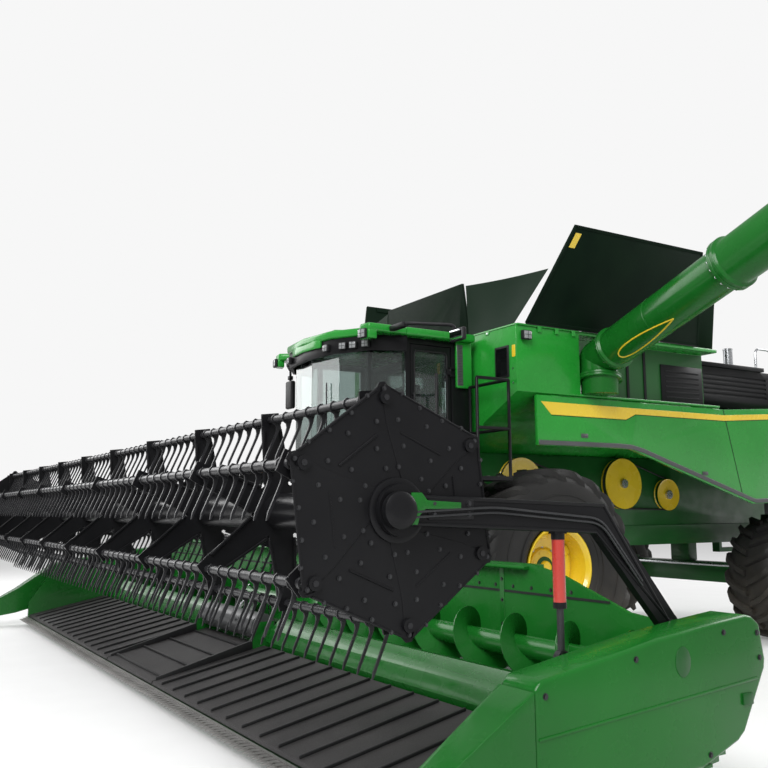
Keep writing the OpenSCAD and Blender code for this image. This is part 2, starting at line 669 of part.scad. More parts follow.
roof_over = 110;
module cab_roof() color(green) placed() {
    difference() {
        translate([0, 0, cab_roof_z]) linear_extrude(roof_t) cab_plan(-roof_over);
        block([-2000, -cab_back, cab_roof_z - 1], [2000, 0, cab_roof_z + roof_t + 1]);
    }
    translate([0, 0, cab_roof_z + roof_t - 1]) linear_extrude(45) polygon([[-640, -cab_back], [-640, -1500],
        [-420, -cab_front + 60], [420, -cab_front + 60], [640, -1500], [640, -cab_back]]);
    // brow in the middle, ahead of the visor
    block([-brow_half, -cab_front - roof_over + 5, cab_roof_z - 65], [brow_half, -cab_front - visor_out - 5, cab_roof_z + 1]);
    both() {
        // fairing that carries the corner lamp
        translate([0, 0, cab_roof_z]) linear_extrude(roof_t) polygon([[cab_half, -1400], [horn_x, -1400], [horn_x, horn_y + 30],
            [horn_x - 150, horn_y], [cab_half - 120, -1780]]);
        translate([0, 0, cab_roof_z - 75]) linear_extrude(76) polygon([[horn_x, horn_y + 100], [horn_x, horn_y + 30],
            [horn_x - 150, horn_y], [horn_x - 150, horn_y + 70]]);
        // intake panel on the rear corner post
        block([cab_half + seat, -cab_back - corner_post + 45, panel_low_z], [cab_half + 40, -cab_back - 5, cab_roof_z + 1]);
    }
}
brow_half = 340;
horn_x = cab_half + 115;
horn_y = -cab_front + 50;
panel_low_z = 2920;
module cab_interior() color(grey) placed() {
    block([-180, -1060, sill_z + seat], [180, -700, sill_z + 300]);
    block([-260, -1150, sill_z + 300], [260, -640, sill_z + 440]);
    block([-250, -760, sill_z + 439], [250, -640, sill_z + 1080]);
    block([-420, -1250, sill_z + seat], [-300, -700, sill_z + 560]);
    block([-420, -1420, sill_z + 520], [-280, -1240, sill_z + 640]);
    block([-60, -1620, sill_z + seat], [60, -1500, sill_z + 60]);
    bar(35, [0, -1560, sill_z + 40], [0, -1400, sill_z + 680]);
    translate([0, -1385, sill_z + 700]) rotate([15, 0, 0]) cylinder(r = 200, h = 30);
}
// Lamps on the visor, as the distance past the visor's front corner and the lamp's turn
visor_corner = [520, -cab_front + 60 - visor_out];
visor_turn = atan2(-1720 - visor_corner[1], cab_half - 150 + visor_out - visor_corner[0]);
front_turn = atan2(60, 520);
VISOR_LAMPS = [[-65, front_turn], [155, visor_turn], [280, visor_turn], [430, visor_turn]];
lamp_w = 90;
lamp_z = cab_roof_z - 132;
module lamps() color(steel) placed() {
    both() {
        for (l = VISOR_LAMPS) translate([visor_corner[0], visor_corner[1], lamp_z]) rotate([0, 0, l[1]])
            block([l[0] - lamp_w / 2, -45, 0], [l[0] + lamp_w / 2, -seat, 82]);
        translate([horn_x - 150, horn_y, cab_roof_z - 74]) rotate([0, 0, atan2(30, 150)])
            block([18, -38, 0], [133, -seat, 100]);
    }
    block([side_half + seat, -tank_front + 50, tank_rim - 175], [side_half + seat + 60, -tank_front + 165, tank_rim - 75]);
    bar_z(45, -700, -cab_back - 120, cab_roof_z + roof_t + seat, cab_roof_z + roof_t + 150);
}
// The right mirror hangs beside the cab and the left one is swung back, high over the platform
mirror_x = 1300;
mirror_y = -1590;
left_mirror = [1620, -1230, 3270];
module mirrors() color(black) placed() {
    bar_x(16, mirror_y, cab_roof_z + 45, -mirror_x - 14, -horn_x - seat);
    bar_z(14, -mirror_x, mirror_y, 2900, cab_roof_z + 61);
    block([-mirror_x - 90, mirror_y - 30, 2880], [-mirror_x + 90, mirror_y + 30, 3230]);
    bar_x(18, -1600, cab_roof_z + 45, horn_x + seat, 1450);
    bar(18, [1440, -1600, cab_roof_z + 45], [1700, -1210, cab_roof_z + 20]);
    bar_z(14, 1700, -1210, left_mirror[2] + 10, cab_roof_z + 38);
    block(left_mirror, left_mirror + [240, 50, 130]);
}

// Platform on the left with its ladder and hand rails

deck_x0 = cab_half + seat;
deck_x1 = side_half + 20;
deck_y0 = -1480;
deck_y1 = -tank_front - 110;
rail_r = 17;
module platform() color(black) placed() {
    block([deck_x0, deck_y0, cab_floor - 20], [deck_x1, deck_y1, cab_floor + 20]);
    block([deck_x0, deck_y0 + 40, cab_floor - 120], [deck_x1 - 200, deck_y0 + 80, cab_floor - 19]);
    block([deck_x0, deck_y1 - 260, cab_floor - 120], [deck_x1 - 200, deck_y1 - 220, cab_floor - 19]);
    for (y = [deck_y0 + rail_r, -980, deck_y1 - rail_r]) bar_z(rail_r, deck_x1 - rail_r, y, cab_floor, cab_floor + 1000);
    bar_z(rail_r, deck_x0 + 60, deck_y1 - rail_r, cab_floor, cab_floor + 1000);
    for (z = [500, 1000]) {
        bar_y(rail_r, deck_x1 - rail_r, cab_floor + z, -980, deck_y1 - rail_r);
        bar_x(rail_r, deck_y1 - rail_r, cab_floor + z, deck_x0 + 60, deck_x1 - rail_r);
    }
    for (y = [deck_y0 + 20, -1080]) bar(22, [deck_x1 - 60, y, cab_floor], [deck_x1 + 90, y, 460]);
    for (i = [0:5]) block([deck_x1 - 40 + 25 * (5 - i) - 60, deck_y0 + 20, 490 + 260 * i], [deck_x1 + 25 * (5 - i), -1080, 520 + 260 * i]);
}

// Feeder house and its lift cylinders

feeder_front = -back_sheet_y + seat;
feeder_eye = [-1480, 560];
feeder_wall = 30;
module feeder_house() color(green) placed() {
    difference() {
        side_plate([[-feeder_pivot_y + 40, 1880], [-feeder_pivot_y - 20, 1330], [feeder_front, 400], [feeder_front, 1060]],
            -feeder_half, feeder_half);
        side_plate([[-feeder_pivot_y - 10, 1830], [-feeder_pivot_y - 50, 1370], [feeder_front - 1, 440], [feeder_front - 1, 1025]],
            -feeder_half + feeder_wall, feeder_half - feeder_wall);
    }
    both() {
        bar_x(pivot_r, -feeder_pivot_y, feeder_pivot_z, feeder_half - feeder_wall, feeder_half + 68);
        for (s = [-1, 1]) side_plate([[feeder_eye[0] - 60, 760], [feeder_eye[0] - 40, feeder_eye[1] - 40],
            [feeder_eye[0] + 40, feeder_eye[1] - 40], [feeder_eye[0] + 60, 760]],
            lift_x + s * lift_ear - 12, lift_x + s * lift_ear + 12);
        bar_x(22, feeder_eye[0], feeder_eye[1], lift_x - lift_ear - 10, lift_x + lift_ear + 10);
    }
}
lift_a = [-lift_base[0] - 35, front_z + lift_base[1]];
lift_vec = feeder_eye - lift_a;
lift_len = norm(lift_vec);
lift_dir = lift_vec / lift_len;
lift_barrel_len = 960;
module lift_barrels() color(black) placed() both() difference() {
    union() {
        bar_x(42, lift_a[0], lift_a[1], lift_x - lift_eye, lift_x + lift_eye);
        bar_lift(lift_r, 30, lift_barrel_len);
    }
    bar_x(25 + fit, lift_a[0], lift_a[1], lift_x - lift_eye - 1, lift_x + lift_eye + 1);
    bar_lift(30 + fit, 70, lift_barrel_len + 1);
}
module bar_lift(r, d0, d1) {
    a = lift_a + lift_dir * d0;
    b = lift_a + lift_dir * d1;
    bar(r, [lift_x, a[0], a[1]], [lift_x, b[0], b[1]]);
}
module lift_rods() color(steel) placed() both() difference() {
    union() {
        bar_lift(30, 330, lift_len - 40);
        bar_x(58, feeder_eye[0], feeder_eye[1], lift_x - lift_eye, lift_x + lift_eye);
    }
    bar_x(40, feeder_eye[0], feeder_eye[1], lift_x - lift_eye - 1, lift_x + lift_eye + 1);
}

// Header frame: back sheet, beams, trough, pan and end plates

belt_run = belt_len * cos(belt_slope);
belt_rise = belt_len * sin(belt_slope);
belt_back_y = knife_y - belt_run;
belt_back_z = belt_z + belt_rise;
belt_t = 45;
// Top of the pan at a place y under the sloping belts
function pan_z(y) = belt_z - belt_t - seat + (y + knife_y) * tan(belt_slope);
pan_t = 30;
shaft_r = 25;
drum_y = belt_back_y - 20;
drum_z = belt_back_z + 150;
mouth_half = feeder_half + 20;
mouth_z0 = 330;
mouth_z1 = 1060;
trough_r = flight_r + 30;
module header_frame() color(green) placed() {
    // back sheet with the mouth into the feeder house
    difference() {
        front_plate([[-header_half, 250], [header_half, 250], [header_half, 940], [4700, 990], [4120, back_sheet_top - 60],
            [3800, back_sheet_top], [-3800, back_sheet_top], [-4120, back_sheet_top - 60], [-4700, 990], [-header_half, 940]],
            -back_sheet_y - 30, -back_sheet_y);
        block([-mouth_half, -back_sheet_y - 40, mouth_z0], [mouth_half, -back_sheet_y + 10, mouth_z1]);
    }
    // beams behind it
    block([-3800, -back_sheet_y - 1, back_sheet_top - 110], [3800, -back_sheet_y + 90, back_sheet_top - 5]);
    both() block([mouth_half, -back_sheet_y - 1, 260], [header_half, -back_sheet_y + 120, 400]);
    both() for (x = [mouth_half, 2200, 3740])
        block([x, -back_sheet_y - 1, 390], [x + 60, -back_sheet_y + 90, back_sheet_top - 100]);
    // trough under the cross auger, with its green front lip
    both() difference() {
        union() {
            bar_x(trough_r + 20, -cross_y, cross_z, centre_half, header_half);
            side_plate([[-belt_back_y + 5, belt_back_z + 30], [-belt_back_y + 30, belt_back_z - 60], [-cross_y - 100, cross_z - trough_r - 20],
                [-cross_y - 225, cross_z - 110], [-cross_y - 330, 520], [-cross_y - 345, 510]], centre_half, header_half);
        }
        bar_x(trough_r, -cross_y, cross_z, centre_half - 1, header_half + 1);
        block([centre_half - 1, -cross_y - 500, cross_z - 110], [header_half + 1, -back_sheet_y - 30, cross_z + 400]);
        block([centre_half - 1, -back_sheet_y - 29, 0], [header_half + 1, -back_sheet_y + 300, 1500]);
    }
    // floor between the centre belt and the mouth
    side_plate([[-belt_back_y + 25, belt_back_z - 60], [-back_sheet_y - 10, mouth_z0 - 45], [-back_sheet_y - 10, mouth_z0 - 20],
        [-belt_back_y + 15, belt_back_z - 20]], -centre_half, centre_half);
    // pan under the belts
    side_plate([[-knife_y - 10, pan_z(-knife_y - 10) - pan_t], [-belt_back_y + 30, pan_z(-belt_back_y + 30) - pan_t],
        [-belt_back_y + 30, pan_z(-belt_back_y + 30)], [-knife_y - 10, pan_z(-knife_y - 10)]], -header_half, header_half);
    // end plates with the cross auger's bearings
    both() difference() {
        side_plate([[-knife_y - 10, belt_z - belt_t - 32], [-back_sheet_y, 250], [-back_sheet_y, 925], [-2300, 925],
            [-3590, 740], [-knife_y - 10, 320]], header_half - 1, header_half + 50 - seat);
        bar_x(shaft_r + fit, -cross_y, cross_z, header_half - 2, header_half + 60);
    }
    // wedges between the belts, with the feed drum's bearings
    both() difference() {
        side_plate([[-knife_y + 40, belt_z - belt_t - 10], [-drum_y + 90, belt_back_z - belt_t - 20], [-drum_y + 70, drum_z + 60],
            [-drum_y - 70, drum_z + 60], [-drum_y - 160, belt_back_z + 40], [-knife_y + 40, belt_z + 25]],
            centre_half - 10, centre_half + 10);
        bar_x(shaft_r + fit, -drum_y, drum_z, centre_half - 20, centre_half + 20);
    }
}

// End shields and the crop dividers ahead of them
shield_in = header_half + 50;
module end_shields() color(green) placed() both() {
    side_plate([[-3590, 330], [-3590, 820], [-3550, 860], [-2780, 985], [-2080, 1060], [-1990, 1000], [-1965, 800],
        [-2180, 450], [-2500, 330]], shield_in, shield_out);
    bar_x(30, -cross_y, arm_pivot_z, header_half - 12, shield_in + 1);
    bar_x(15, -3170, 890, header_half - 12, shield_in + 1);
}
module dividers() color(green) placed() both() hull() {
    block([shield_in, -3592 - seat, 300], [shield_out, -3591 - seat, 815]);
    block([shield_in + 10, -4050, 180], [shield_out - 40, -4049, 510]);
    block([shield_in + 90, -nose_y, 60], [shield_out - 100, -nose_y + 5, 110]);
}

module belt(x0, x1) side_plate([[-knife_y, belt_z - belt_t], [-belt_back_y, belt_back_z - belt_t], [-belt_back_y, belt_back_z],
    [-knife_y, belt_z]], x0, x1);
slat_pitch = 300;
module draper_belts() color(grey) placed() {
    both() {
        belt(centre_half + 15, header_half - 20);
        for (x = [centre_half + 200:slat_pitch:header_half - 100])
            side_plate([[-knife_y + 30, belt_z + 4], [-belt_back_y - 25, belt_back_z - 6], [-belt_back_y - 25, belt_back_z + 12],
                [-knife_y + 30, belt_z + 22]], x, x + 22);
    }
    belt(-centre_half + 15, centre_half - 15);
    for (k = [0:3]) translate([0, -knife_y + 100 + 275 * k, belt_z + (100 + 275 * k) * tan(belt_slope)]) rotate([belt_slope, 0, 0])
        block([-centre_half + 40, -12, -6], [centre_half - 40, 12, 16]);
}
// One pointed guard for every three inches of knife
guard_pitch = 76.2;
guards = floor((2 * header_half - 40) / guard_pitch);
guard_h = 20;
module cutterbar() color(steel) placed() {
    block([-header_half, -knife_y - 75, belt_z - belt_t - 30], [header_half, -knife_y - 10 - seat, belt_z - belt_t]);
    translate([0, 0, belt_z - belt_t - 20]) linear_extrude(guard_h) polygon([
        [header_half - 5, -knife_y - 74],
        [-header_half + 5, -knife_y - 74],
        for (k = [0:guards - 1]) for (q = [[-19, 90], [-6, 138], [6, 138], [19, 90]])
            [(k - (guards - 1) / 2) * guard_pitch + q[0], -knife_y - q[1]]
    ]);
}

// Cross auger: tube, stub shafts and flights of opposite hands
flight_pitch = 520;
flight_t = 10;
module header_auger() color(green) placed() {
    bar_x(cross_tube_r, -cross_y, cross_z, -header_half + 40, header_half - 40);
    bar_x(shaft_r, -cross_y, cross_z, -header_half - 30, header_half + 30);
    both() translate([flight_x0, -cross_y, cross_z]) rotate([90, 0, 90]) flight(header_half - 120 - flight_x0);
}
flight_x0 = centre_half + 60;
flight_steps = 14;
// A thin sector of the flight's cross-section, twisted along the tube
module flight(len) {
    spread = 180 * flight_t / flight_pitch;
    linear_extrude(len, twist = -360 * len / flight_pitch, slices = round(flight_steps * len / flight_pitch), segments = 4) polygon([
        (cross_tube_r - 8) * [cos(-spread), sin(-spread)],
        flight_r * [cos(-spread), sin(-spread)],
        flight_r * [cos(spread), sin(spread)],
        (cross_tube_r - 8) * [cos(spread), sin(spread)]
    ]);
}
module feed_drum() color(grey) placed() {
    bar_x(125, -drum_y, drum_z, -mouth_half + 10, mouth_half - 10);
    bar_x(shaft_r, -drum_y, drum_z, -centre_half - 8, centre_half + 8);
}

// Reel

arm_x0 = header_half - 8;
arm_x1 = header_half + 42;
module reel_arms() color(black) placed() both() difference() {
    union() {
        side_plate([[-cross_y - 50, arm_pivot_z - 30], [-cross_y + 50, arm_pivot_z + 30], [-2860, 1640], [-reel_y, reel_z + 60],
            [-reel_y - 60, reel_z], [-reel_y, reel_z - 60], [-2930, 1500]], arm_x0, arm_x1);
        bar_x(60, -cross_y, arm_pivot_z, arm_x0, arm_x1);
        block([arm_x0, cyl_y - 40, cyl_top - 62 + seat], [arm_x1, cyl_y + 40, cyl_top]);
        bar_x(120, -reel_y + crank, reel_z, shield_x0 - 5, arm_x0 + 20);
    }
    bar_x(30 + fit, -cross_y, arm_pivot_z, arm_x0 - 1, arm_x1 + 1);
    bar_x(50 + fit, -reel_y, reel_z, shield_x0 - 10, arm_x1 + 1);
}
shield_x0 = header_half - 50;
shield_x1 = header_half - 25;
function bat_dir(i) = [-sin(reel_phase + 60 * i), cos(reel_phase + 60 * i)];
function bat_at(i) = [-reel_y, reel_z] + bat_circle_r * bat_dir(i);
function pin_at(i) = bat_at(i) + [crank, 0];
pin_r = 14;
reel_half = header_half - 90;
module reel_core() color(black) placed() {
    bar_x(reel_tube_r, -reel_y, reel_z, -reel_half - 20, reel_half + 20);
    bar_x(50, -reel_y, reel_z, -arm_x1 + 10, arm_x1 - 10);
    for (k = [0:bays]) spider(-reel_half + 30 + k * bay_w);
}
module spider(x) translate([x - 6, 0, 0]) rotate([90, 0, 90]) linear_extrude(12) difference() {
    polygon([for (i = [0:5]) for (q = [[-0.5, 150], [-0.12, bat_circle_r - 40], [-0.09, bat_circle_r + 42], [0.09, bat_circle_r + 42], [0.12, bat_circle_r - 40]])
        let (a = reel_phase + 60 * i + q[0] * 60) [-reel_y - q[1] * sin(a), reel_z + q[1] * cos(a)]]);
    for (i = [0:5]) translate(bat_at(i)) circle(r = bat_r + fit);
}
bay_w = (2 * reel_half - 60) / bays;
tine_pitch = bay_w / tines_per_bay;
module tine(x, p) translate([x, p[0], p[1]]) rotate([-tine_tilt, 0, 0])
    side_plate([[-12, 5], [12, 5], [16, -60], [4, -tine_len * 0.7], [10, -tine_len], [1, -tine_len], [-8, -tine_len * 0.7], [-6, -60]], -6, 6);
module bat(i) {
    p = bat_at(i);
    bar_x(bat_r, p[0], p[1], -reel_half, reel_half);
    for (k = [0:bays - 1]) for (j = [0:tines_per_bay - 1])
        tine(-reel_half + 30 + k * bay_w + (j + 0.5) * tine_pitch, p);
    both() {
        bar_x(bat_r + 8, p[0], p[1], reel_half - 1, reel_half + 25);
        side_plate([[p[0] - 5, p[1] - 24], [p[0] + crank + 8, p[1] - 20], [p[0] + crank + 8, p[1] + 20], [p[0] - 5, p[1] + 24]], reel_half + 5, reel_half + 25);
        bar_x(pin_r, p[0] + crank, p[1], reel_half + 5, shield_x1 + 8);
    }
}
module reel_bat_1() color(black) placed() bat(0);
module reel_bat_2() color(black) placed() bat(1);
module reel_bat_3() color(black) placed() bat(2);
module reel_bat_4() color(black) placed() bat(3);
module reel_bat_5() color(black) placed() bat(4);
module reel_bat_6() color(black) placed() bat(5);
module reel_shields() color(black) placed() both() difference() {
    translate([shield_x0, -reel_y + crank, reel_z]) rotate([reel_phase, 0, 0]) rotate([0, 90, 0])
        cylinder(r = shield_r, h = shield_x1 - shield_x0, $fn = 6);
    bar_x(120 + fit, -reel_y + crank, reel_z, shield_x0 - 1, shield_x1 + 1);
    for (i = [0:5]) bar_x(pin_r + fit, pin_at(i)[0], pin_at(i)[1], shield_x0 - 1, shield_x1 + 1);
}

// Reel lift cylinders, hung from the arms; the rod's lower eye is loose on its pin
cyl_y = -3170;
cyl_top = 1560;
cyl_low = 890;
module reel_barrels() color(red) placed() both() difference() {
    bar_z(reel_cyl_r, (arm_x0 + arm_x1) / 2, cyl_y, cyl_top - 430, cyl_top - 62);
    bar_z(18 + fit, (arm_x0 + arm_x1) / 2, cyl_y, cyl_top - 431, cyl_top - 80);
}
module reel_rods() color(steel) placed() both() difference() {
    union() {
        bar_z(18, (arm_x0 + arm_x1) / 2, cyl_y, cyl_low + 20, cyl_top - 290);
        bar_x(38, cyl_y, cyl_low, arm_x0 + 6, arm_x1 - 6);
    }
    bar_x(26, cyl_y, cyl_low, arm_x0, arm_x1);
}

chassis_frame();
separator_body();
front_axle();
rear_axle();
grain_tank();
cover_corners();
engine_block();
engine_deck();
rear_hood();
spreader();
unload_tower();
cab_frame();
cab_roof();
cab_glass();
cab_interior();
lamps();
mirrors();
platform();
cover_left();
cover_right();
cover_front();
cover_rear();
side_panel_left();
side_panel_right();
cab_door();
door_glass();
unload_tube();
unload_spout();
tyre_front_left();
tyre_front_right();
tyre_rear_left();
tyre_rear_right();
rim_front_left();
rim_front_right();
rim_rear_left();
rim_rear_right();
knuckle_left();
knuckle_right();
tie_rod();
lift_barrels();
lift_rods();
feeder_house();
header_frame();
end_shields();
dividers();
draper_belts();
cutterbar();
header_auger();
feed_drum();
reel_arms();
reel_core();
reel_bat_1();
reel_bat_2();
reel_bat_3();
reel_bat_4();
reel_bat_5();
reel_bat_6();
reel_shields();
reel_barrels();
reel_rods();
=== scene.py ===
# %% [markdown]
# # A combine harvester, dressed
# The machine comes from the CAD pack as a fixed frame: every solid is in its place, in metres, and
# moves with its own body. This lesson gives each solid a finish and adds the pieces that a plain solid
# lacks, such as lugs, tines, flights, lamps and seats. +X is the machine's left, +Y its rear, +Z up.

# %% Load the frame
import bpy
import json
import math
from mathutils import Matrix, Vector


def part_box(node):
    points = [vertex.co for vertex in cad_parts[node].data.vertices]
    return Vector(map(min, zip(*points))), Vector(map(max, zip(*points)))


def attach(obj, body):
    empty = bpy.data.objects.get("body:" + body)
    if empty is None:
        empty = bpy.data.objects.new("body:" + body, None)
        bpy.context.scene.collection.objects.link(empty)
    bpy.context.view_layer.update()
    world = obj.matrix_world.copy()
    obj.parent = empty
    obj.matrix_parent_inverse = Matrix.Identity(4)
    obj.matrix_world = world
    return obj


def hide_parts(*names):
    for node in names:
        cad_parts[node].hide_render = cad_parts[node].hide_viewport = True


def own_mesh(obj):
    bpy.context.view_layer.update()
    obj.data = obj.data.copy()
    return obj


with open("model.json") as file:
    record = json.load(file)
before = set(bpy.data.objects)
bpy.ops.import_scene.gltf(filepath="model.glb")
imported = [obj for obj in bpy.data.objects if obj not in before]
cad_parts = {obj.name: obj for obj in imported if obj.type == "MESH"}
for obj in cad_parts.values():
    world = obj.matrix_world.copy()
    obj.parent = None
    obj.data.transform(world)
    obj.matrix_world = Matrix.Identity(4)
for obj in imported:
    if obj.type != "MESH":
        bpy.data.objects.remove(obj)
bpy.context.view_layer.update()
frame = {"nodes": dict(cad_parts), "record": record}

print("CAD nodes:", len(frame["nodes"]))

# %% [markdown]
# ## Places
# Sizes and places are written in millimetres, as in the CAD source, and are counted from the front axle
# on the ground. The axle's own box gives that point, and at() turns a place into metres of the frame.

# %% Places counted from the front axle
axle_low, axle_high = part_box("front_axle")
ORIGIN = Vector(((axle_low.x + axle_high.x) / 2, 0.0, 0.0))
ORIGIN.y = sum(corner.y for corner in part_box("tyre_front_left")) / 2


def metres(x, y=0, z=0):
    return Vector((x / 1000, y / 1000, z / 1000))


def at(x, y, z):
    return metres(x, y, z) + ORIGIN


print("front axle at", [round(v, 3) for v in ORIGIN])

# %% [markdown]
# ## Camera, floor and light
# The camera stands ahead of the left front corner at eye height, looking slightly up along the header.
# The floor and the backdrop are pale and plain. Three large soft lamps and a pale world light the machine
# about as a hall's roof does, without hard shadows.

# %% Camera
IMAGE = 768
SENSOR = 36.0
VIEW_AZIMUTH = 1.02527392
VIEW_PITCH = 0.142035908
VIEW_ROLL = -0.00495890751
FOCAL_PIXELS = 883.866
bpy.ops.object.camera_add(location=at(8690, -6280, 1620))
camera = bpy.context.object
camera.rotation_euler = (
    Matrix.Rotation(VIEW_AZIMUTH, 3, "Z")
    @ Matrix.Rotation(math.pi / 2 + VIEW_PITCH, 3, "X")
    @ Matrix.Rotation(VIEW_ROLL, 3, "Z")
).to_euler()
camera.data.sensor_width = SENSOR
camera.data.lens = FOCAL_PIXELS * SENSOR / IMAGE
camera.data.clip_end = 200
scene = bpy.context.scene
scene.camera = camera
print("lens", round(camera.data.lens, 2), "mm")

# %% Tools for nodes
FINISH = {}


def fresh_material(name, slot=None):
    material = bpy.data.materials.new(name)
    material.use_nodes = True
    FINISH[name] = material, slot or name
    return material.node_tree, material.node_tree.nodes["Principled BSDF"]


def plug(tree, target, inputs):
    for key, value in inputs.items():
        if isinstance(value, bpy.types.NodeSocket):
            tree.links.new(value, target.inputs[key])
        else:
            target.inputs[key].default_value = value


def node(tree, kind, inputs={}, **settings):
    made = tree.nodes.new(kind)
    for key, value in settings.items():
        setattr(made, key, value)
    plug(tree, made, inputs)
    return made


def place_on(tree):
    spot = node(tree, "ShaderNodeTexCoord").outputs["Object"]
    return node(tree, "ShaderNodeMapping", {"Vector": spot}).outputs["Vector"]


def noise(tree, where, scale, detail=3.0):
    return node(tree, "ShaderNodeTexNoise", {"Vector": where, "Scale": scale,
                                             "Detail": detail}).outputs["Fac"]


def spread(tree, value, to_low, to_high, low=0.3, high=0.7):
    return node(tree, "ShaderNodeMapRange", {"Value": value, "From Min": low, "From Max": high,
                                             "To Min": to_low, "To Max": to_high}).outputs["Result"]


def blend(tree, amount, first, second):
    return node(tree, "ShaderNodeMix", {0: amount, 6: first, 7: second}, data_type="RGBA").outputs[2]


def maths(tree, operation, first, second):
    return node(tree, "ShaderNodeMath", {0: first, 1: second}, operation=operation).outputs[0]


def bump(tree, height, strength, distance):
    return node(tree, "ShaderNodeBump", {"Height": height, "Strength": strength,
                                         "Distance": distance}).outputs["Normal"]


def rgb(*values):
    return (*[value / 1000 for value in values], 1.0)


WHITE = rgb(1000, 1000, 1000)


def mottled(tree, where, scale, colour, second, detail=3.0, low=0.3, high=0.7):
    return blend(tree, spread(tree, noise(tree, where, scale, detail), 0, 1, low, high), rgb(*colour),
                 rgb(*second))


def seen_by(tree, *rays):
    path = node(tree, "ShaderNodeLightPath")
    seen = path.outputs["Is Camera Ray"]
    for ray in rays:
        seen = maths(tree, "MAXIMUM", seen, path.outputs[ray])
    return seen


# %% Floor and backdrop
FLOOR_SIZE = 160
tree, shader = fresh_material("studio_floor")
glow = spread(tree, seen_by(tree, "Is Glossy Ray", "Is Transmission Ray"), 0, 0.16, 0, 1)
pale = blend(tree, noise(tree, place_on(tree), 2.0), rgb(700, 700, 700), rgb(760, 760, 760))
plug(tree, shader, {"Base Color": pale, "Roughness": 0.8, "Emission Strength": glow, "Emission Color": WHITE})
bpy.ops.object.select_all(action="DESELECT")
bpy.ops.mesh.primitive_plane_add(size=FLOOR_SIZE, location=(0, 0, 0))
floor = bpy.context.object
floor.name = "floor"
floor.data.materials.append(FINISH["studio_floor"][0])

# %% World and lamps
world = bpy.data.worlds.new("studio")
scene.world = world
world.use_nodes = True
tree = world.node_tree
strength = spread(tree, seen_by(tree, "Is Transmission Ray"), 0.55, 0.93, 0, 1)
plug(tree, tree.nodes["Background"], {"Strength": strength, "Color": WHITE})
AIM = Vector((-1, 0, 1.5))
for name, place, size, power in (("key_lamp", (9, -12, 13), 9, 2600), ("fill_lamp", (-14, -8, 9), 10, 1000),
                                 ("rear_lamp", (2, 15, 12), 10, 1500)):
    bpy.ops.object.light_add(type="AREA", location=place)
    lamp = bpy.context.object
    lamp.name = name
    lamp.rotation_euler = (AIM - Vector(place)).to_track_quat("-Z", "Y").to_euler()
    lamp.data.size = size
    lamp.data.energy = power
scene.view_settings.view_transform = "Standard"

# %% [markdown]
# ## Finishes
# Each finish is a small recipe of noises on the object's own coordinates: a slow one that shifts the
# colour a little, as real paint and rubber do, a fine one for the surface's grain, and one for gloss.
# Dust gathers low on the machine, so the tyres take a little of it near the ground. Colours are given in
# thousandths of full red, green and blue. A finish whose slot in the record has another name gives it last.


# %% Painted sheet metal
def paint(name, colour, second, rough=0.24, coat=0.6, gloss=0.5, slot=None):
    tree, shader = fresh_material(name, slot)
    where = place_on(tree)
    plug(tree, shader, {
        "Base Color": mottled(tree, where, 0.9, colour, second, low=0.35, high=0.65),
        "Roughness": spread(tree, noise(tree, where, 6.0, 5.0), rough * 0.8, rough * 1.35),
        "Specular IOR Level": gloss, "Coat Weight": coat, "Coat Roughness": 0.06,
        "Normal": bump(tree, noise(tree, where, 260.0, 2.0), 0.02, 0.002)})


paint("green_paint", (13, 245, 24), (19, 290, 31), coat=0.3, gloss=0.35)
# A deeper copy of the green paint, darkened as painted shade for the header, feeder house, augers and
# unloading tower; it fills the green paint's slot.
paint("painted_shade_green", (6, 105, 11), (9, 135, 15), coat=0.12, gloss=0.22, slot="green_paint")
# The record's dark green, made darker still as painted shade for the frame, axles and body that stand in
# shadow under the machine.
paint("dark_green_paint", (7, 70, 12), (10, 92, 16), rough=0.38, coat=0.12, gloss=0.3)
paint("black_paint", (6, 6, 7), (9, 9, 10), rough=0.36, coat=0.05, gloss=0.14)
paint("dark_window", (3, 4, 4), (5, 6, 6), rough=0.10, coat=0.1, gloss=0.4, slot="tinted_glass")
paint("yellow_paint", (780, 530, 20), (830, 600, 30), rough=0.26)
paint("red_paint", (420, 25, 15), (500, 35, 20), rough=0.3)
paint("grey_paint", (50, 52, 54), (75, 77, 80), rough=0.4, coat=0.1, slot="grey_metal")


# %% Bare and plated steel
def bare_metal(name, colour, rough, roughest=0.2):
    tree, shader = fresh_material(name, "bright_steel")
    where = place_on(tree)
    lines = noise(tree, where, 55.0, 6.0)
    plug(tree, shader, {
        "Base Color": mottled(tree, where, 3.0, colour, [c * 0.72 for c in colour]),
        "Roughness": spread(tree, lines, rough, rough + roughest),
        "Metallic": 1.0, "Normal": bump(tree, lines, 0.05, 0.001)})


bare_metal("bright_steel", (550, 560, 580), 0.16)
bare_metal("chrome_rod", (720, 720, 740), 0.05, 0.05)
bare_metal("worn_steel", (380, 370, 360), 0.32)
bare_metal("dull_steel", (75, 76, 80), 0.42)
bare_metal("mirror_face", (800, 820, 840), 0.02, 0.01)


# %% Rubber, belts and moulded plastic
def moulded(name, colour, second, rough, grain_scale, grain, dust=0.0, gloss=0.25, slot=None):
    tree, shader = fresh_material(name, slot)
    where = place_on(tree)
    base = mottled(tree, where, 2.2, colour, second, 5.0)
    if dust:
        height = node(tree, "ShaderNodeSeparateXYZ", {"Vector": where}).outputs["Z"]
        patch = maths(tree, "MULTIPLY", spread(tree, height, dust, 0.0, 0.0, 1.1),
                      noise(tree, where, 9.0, 6.0))
        base = blend(tree, patch, base, rgb(160, 135, 100))
    fine = noise(tree, where, grain_scale, 4.0)
    plug(tree, shader, {
        "Base Color": base, "Roughness": spread(tree, fine, rough - 0.06, rough + 0.1),
        "Specular IOR Level": gloss, "Normal": bump(tree, fine, grain, 0.002)})


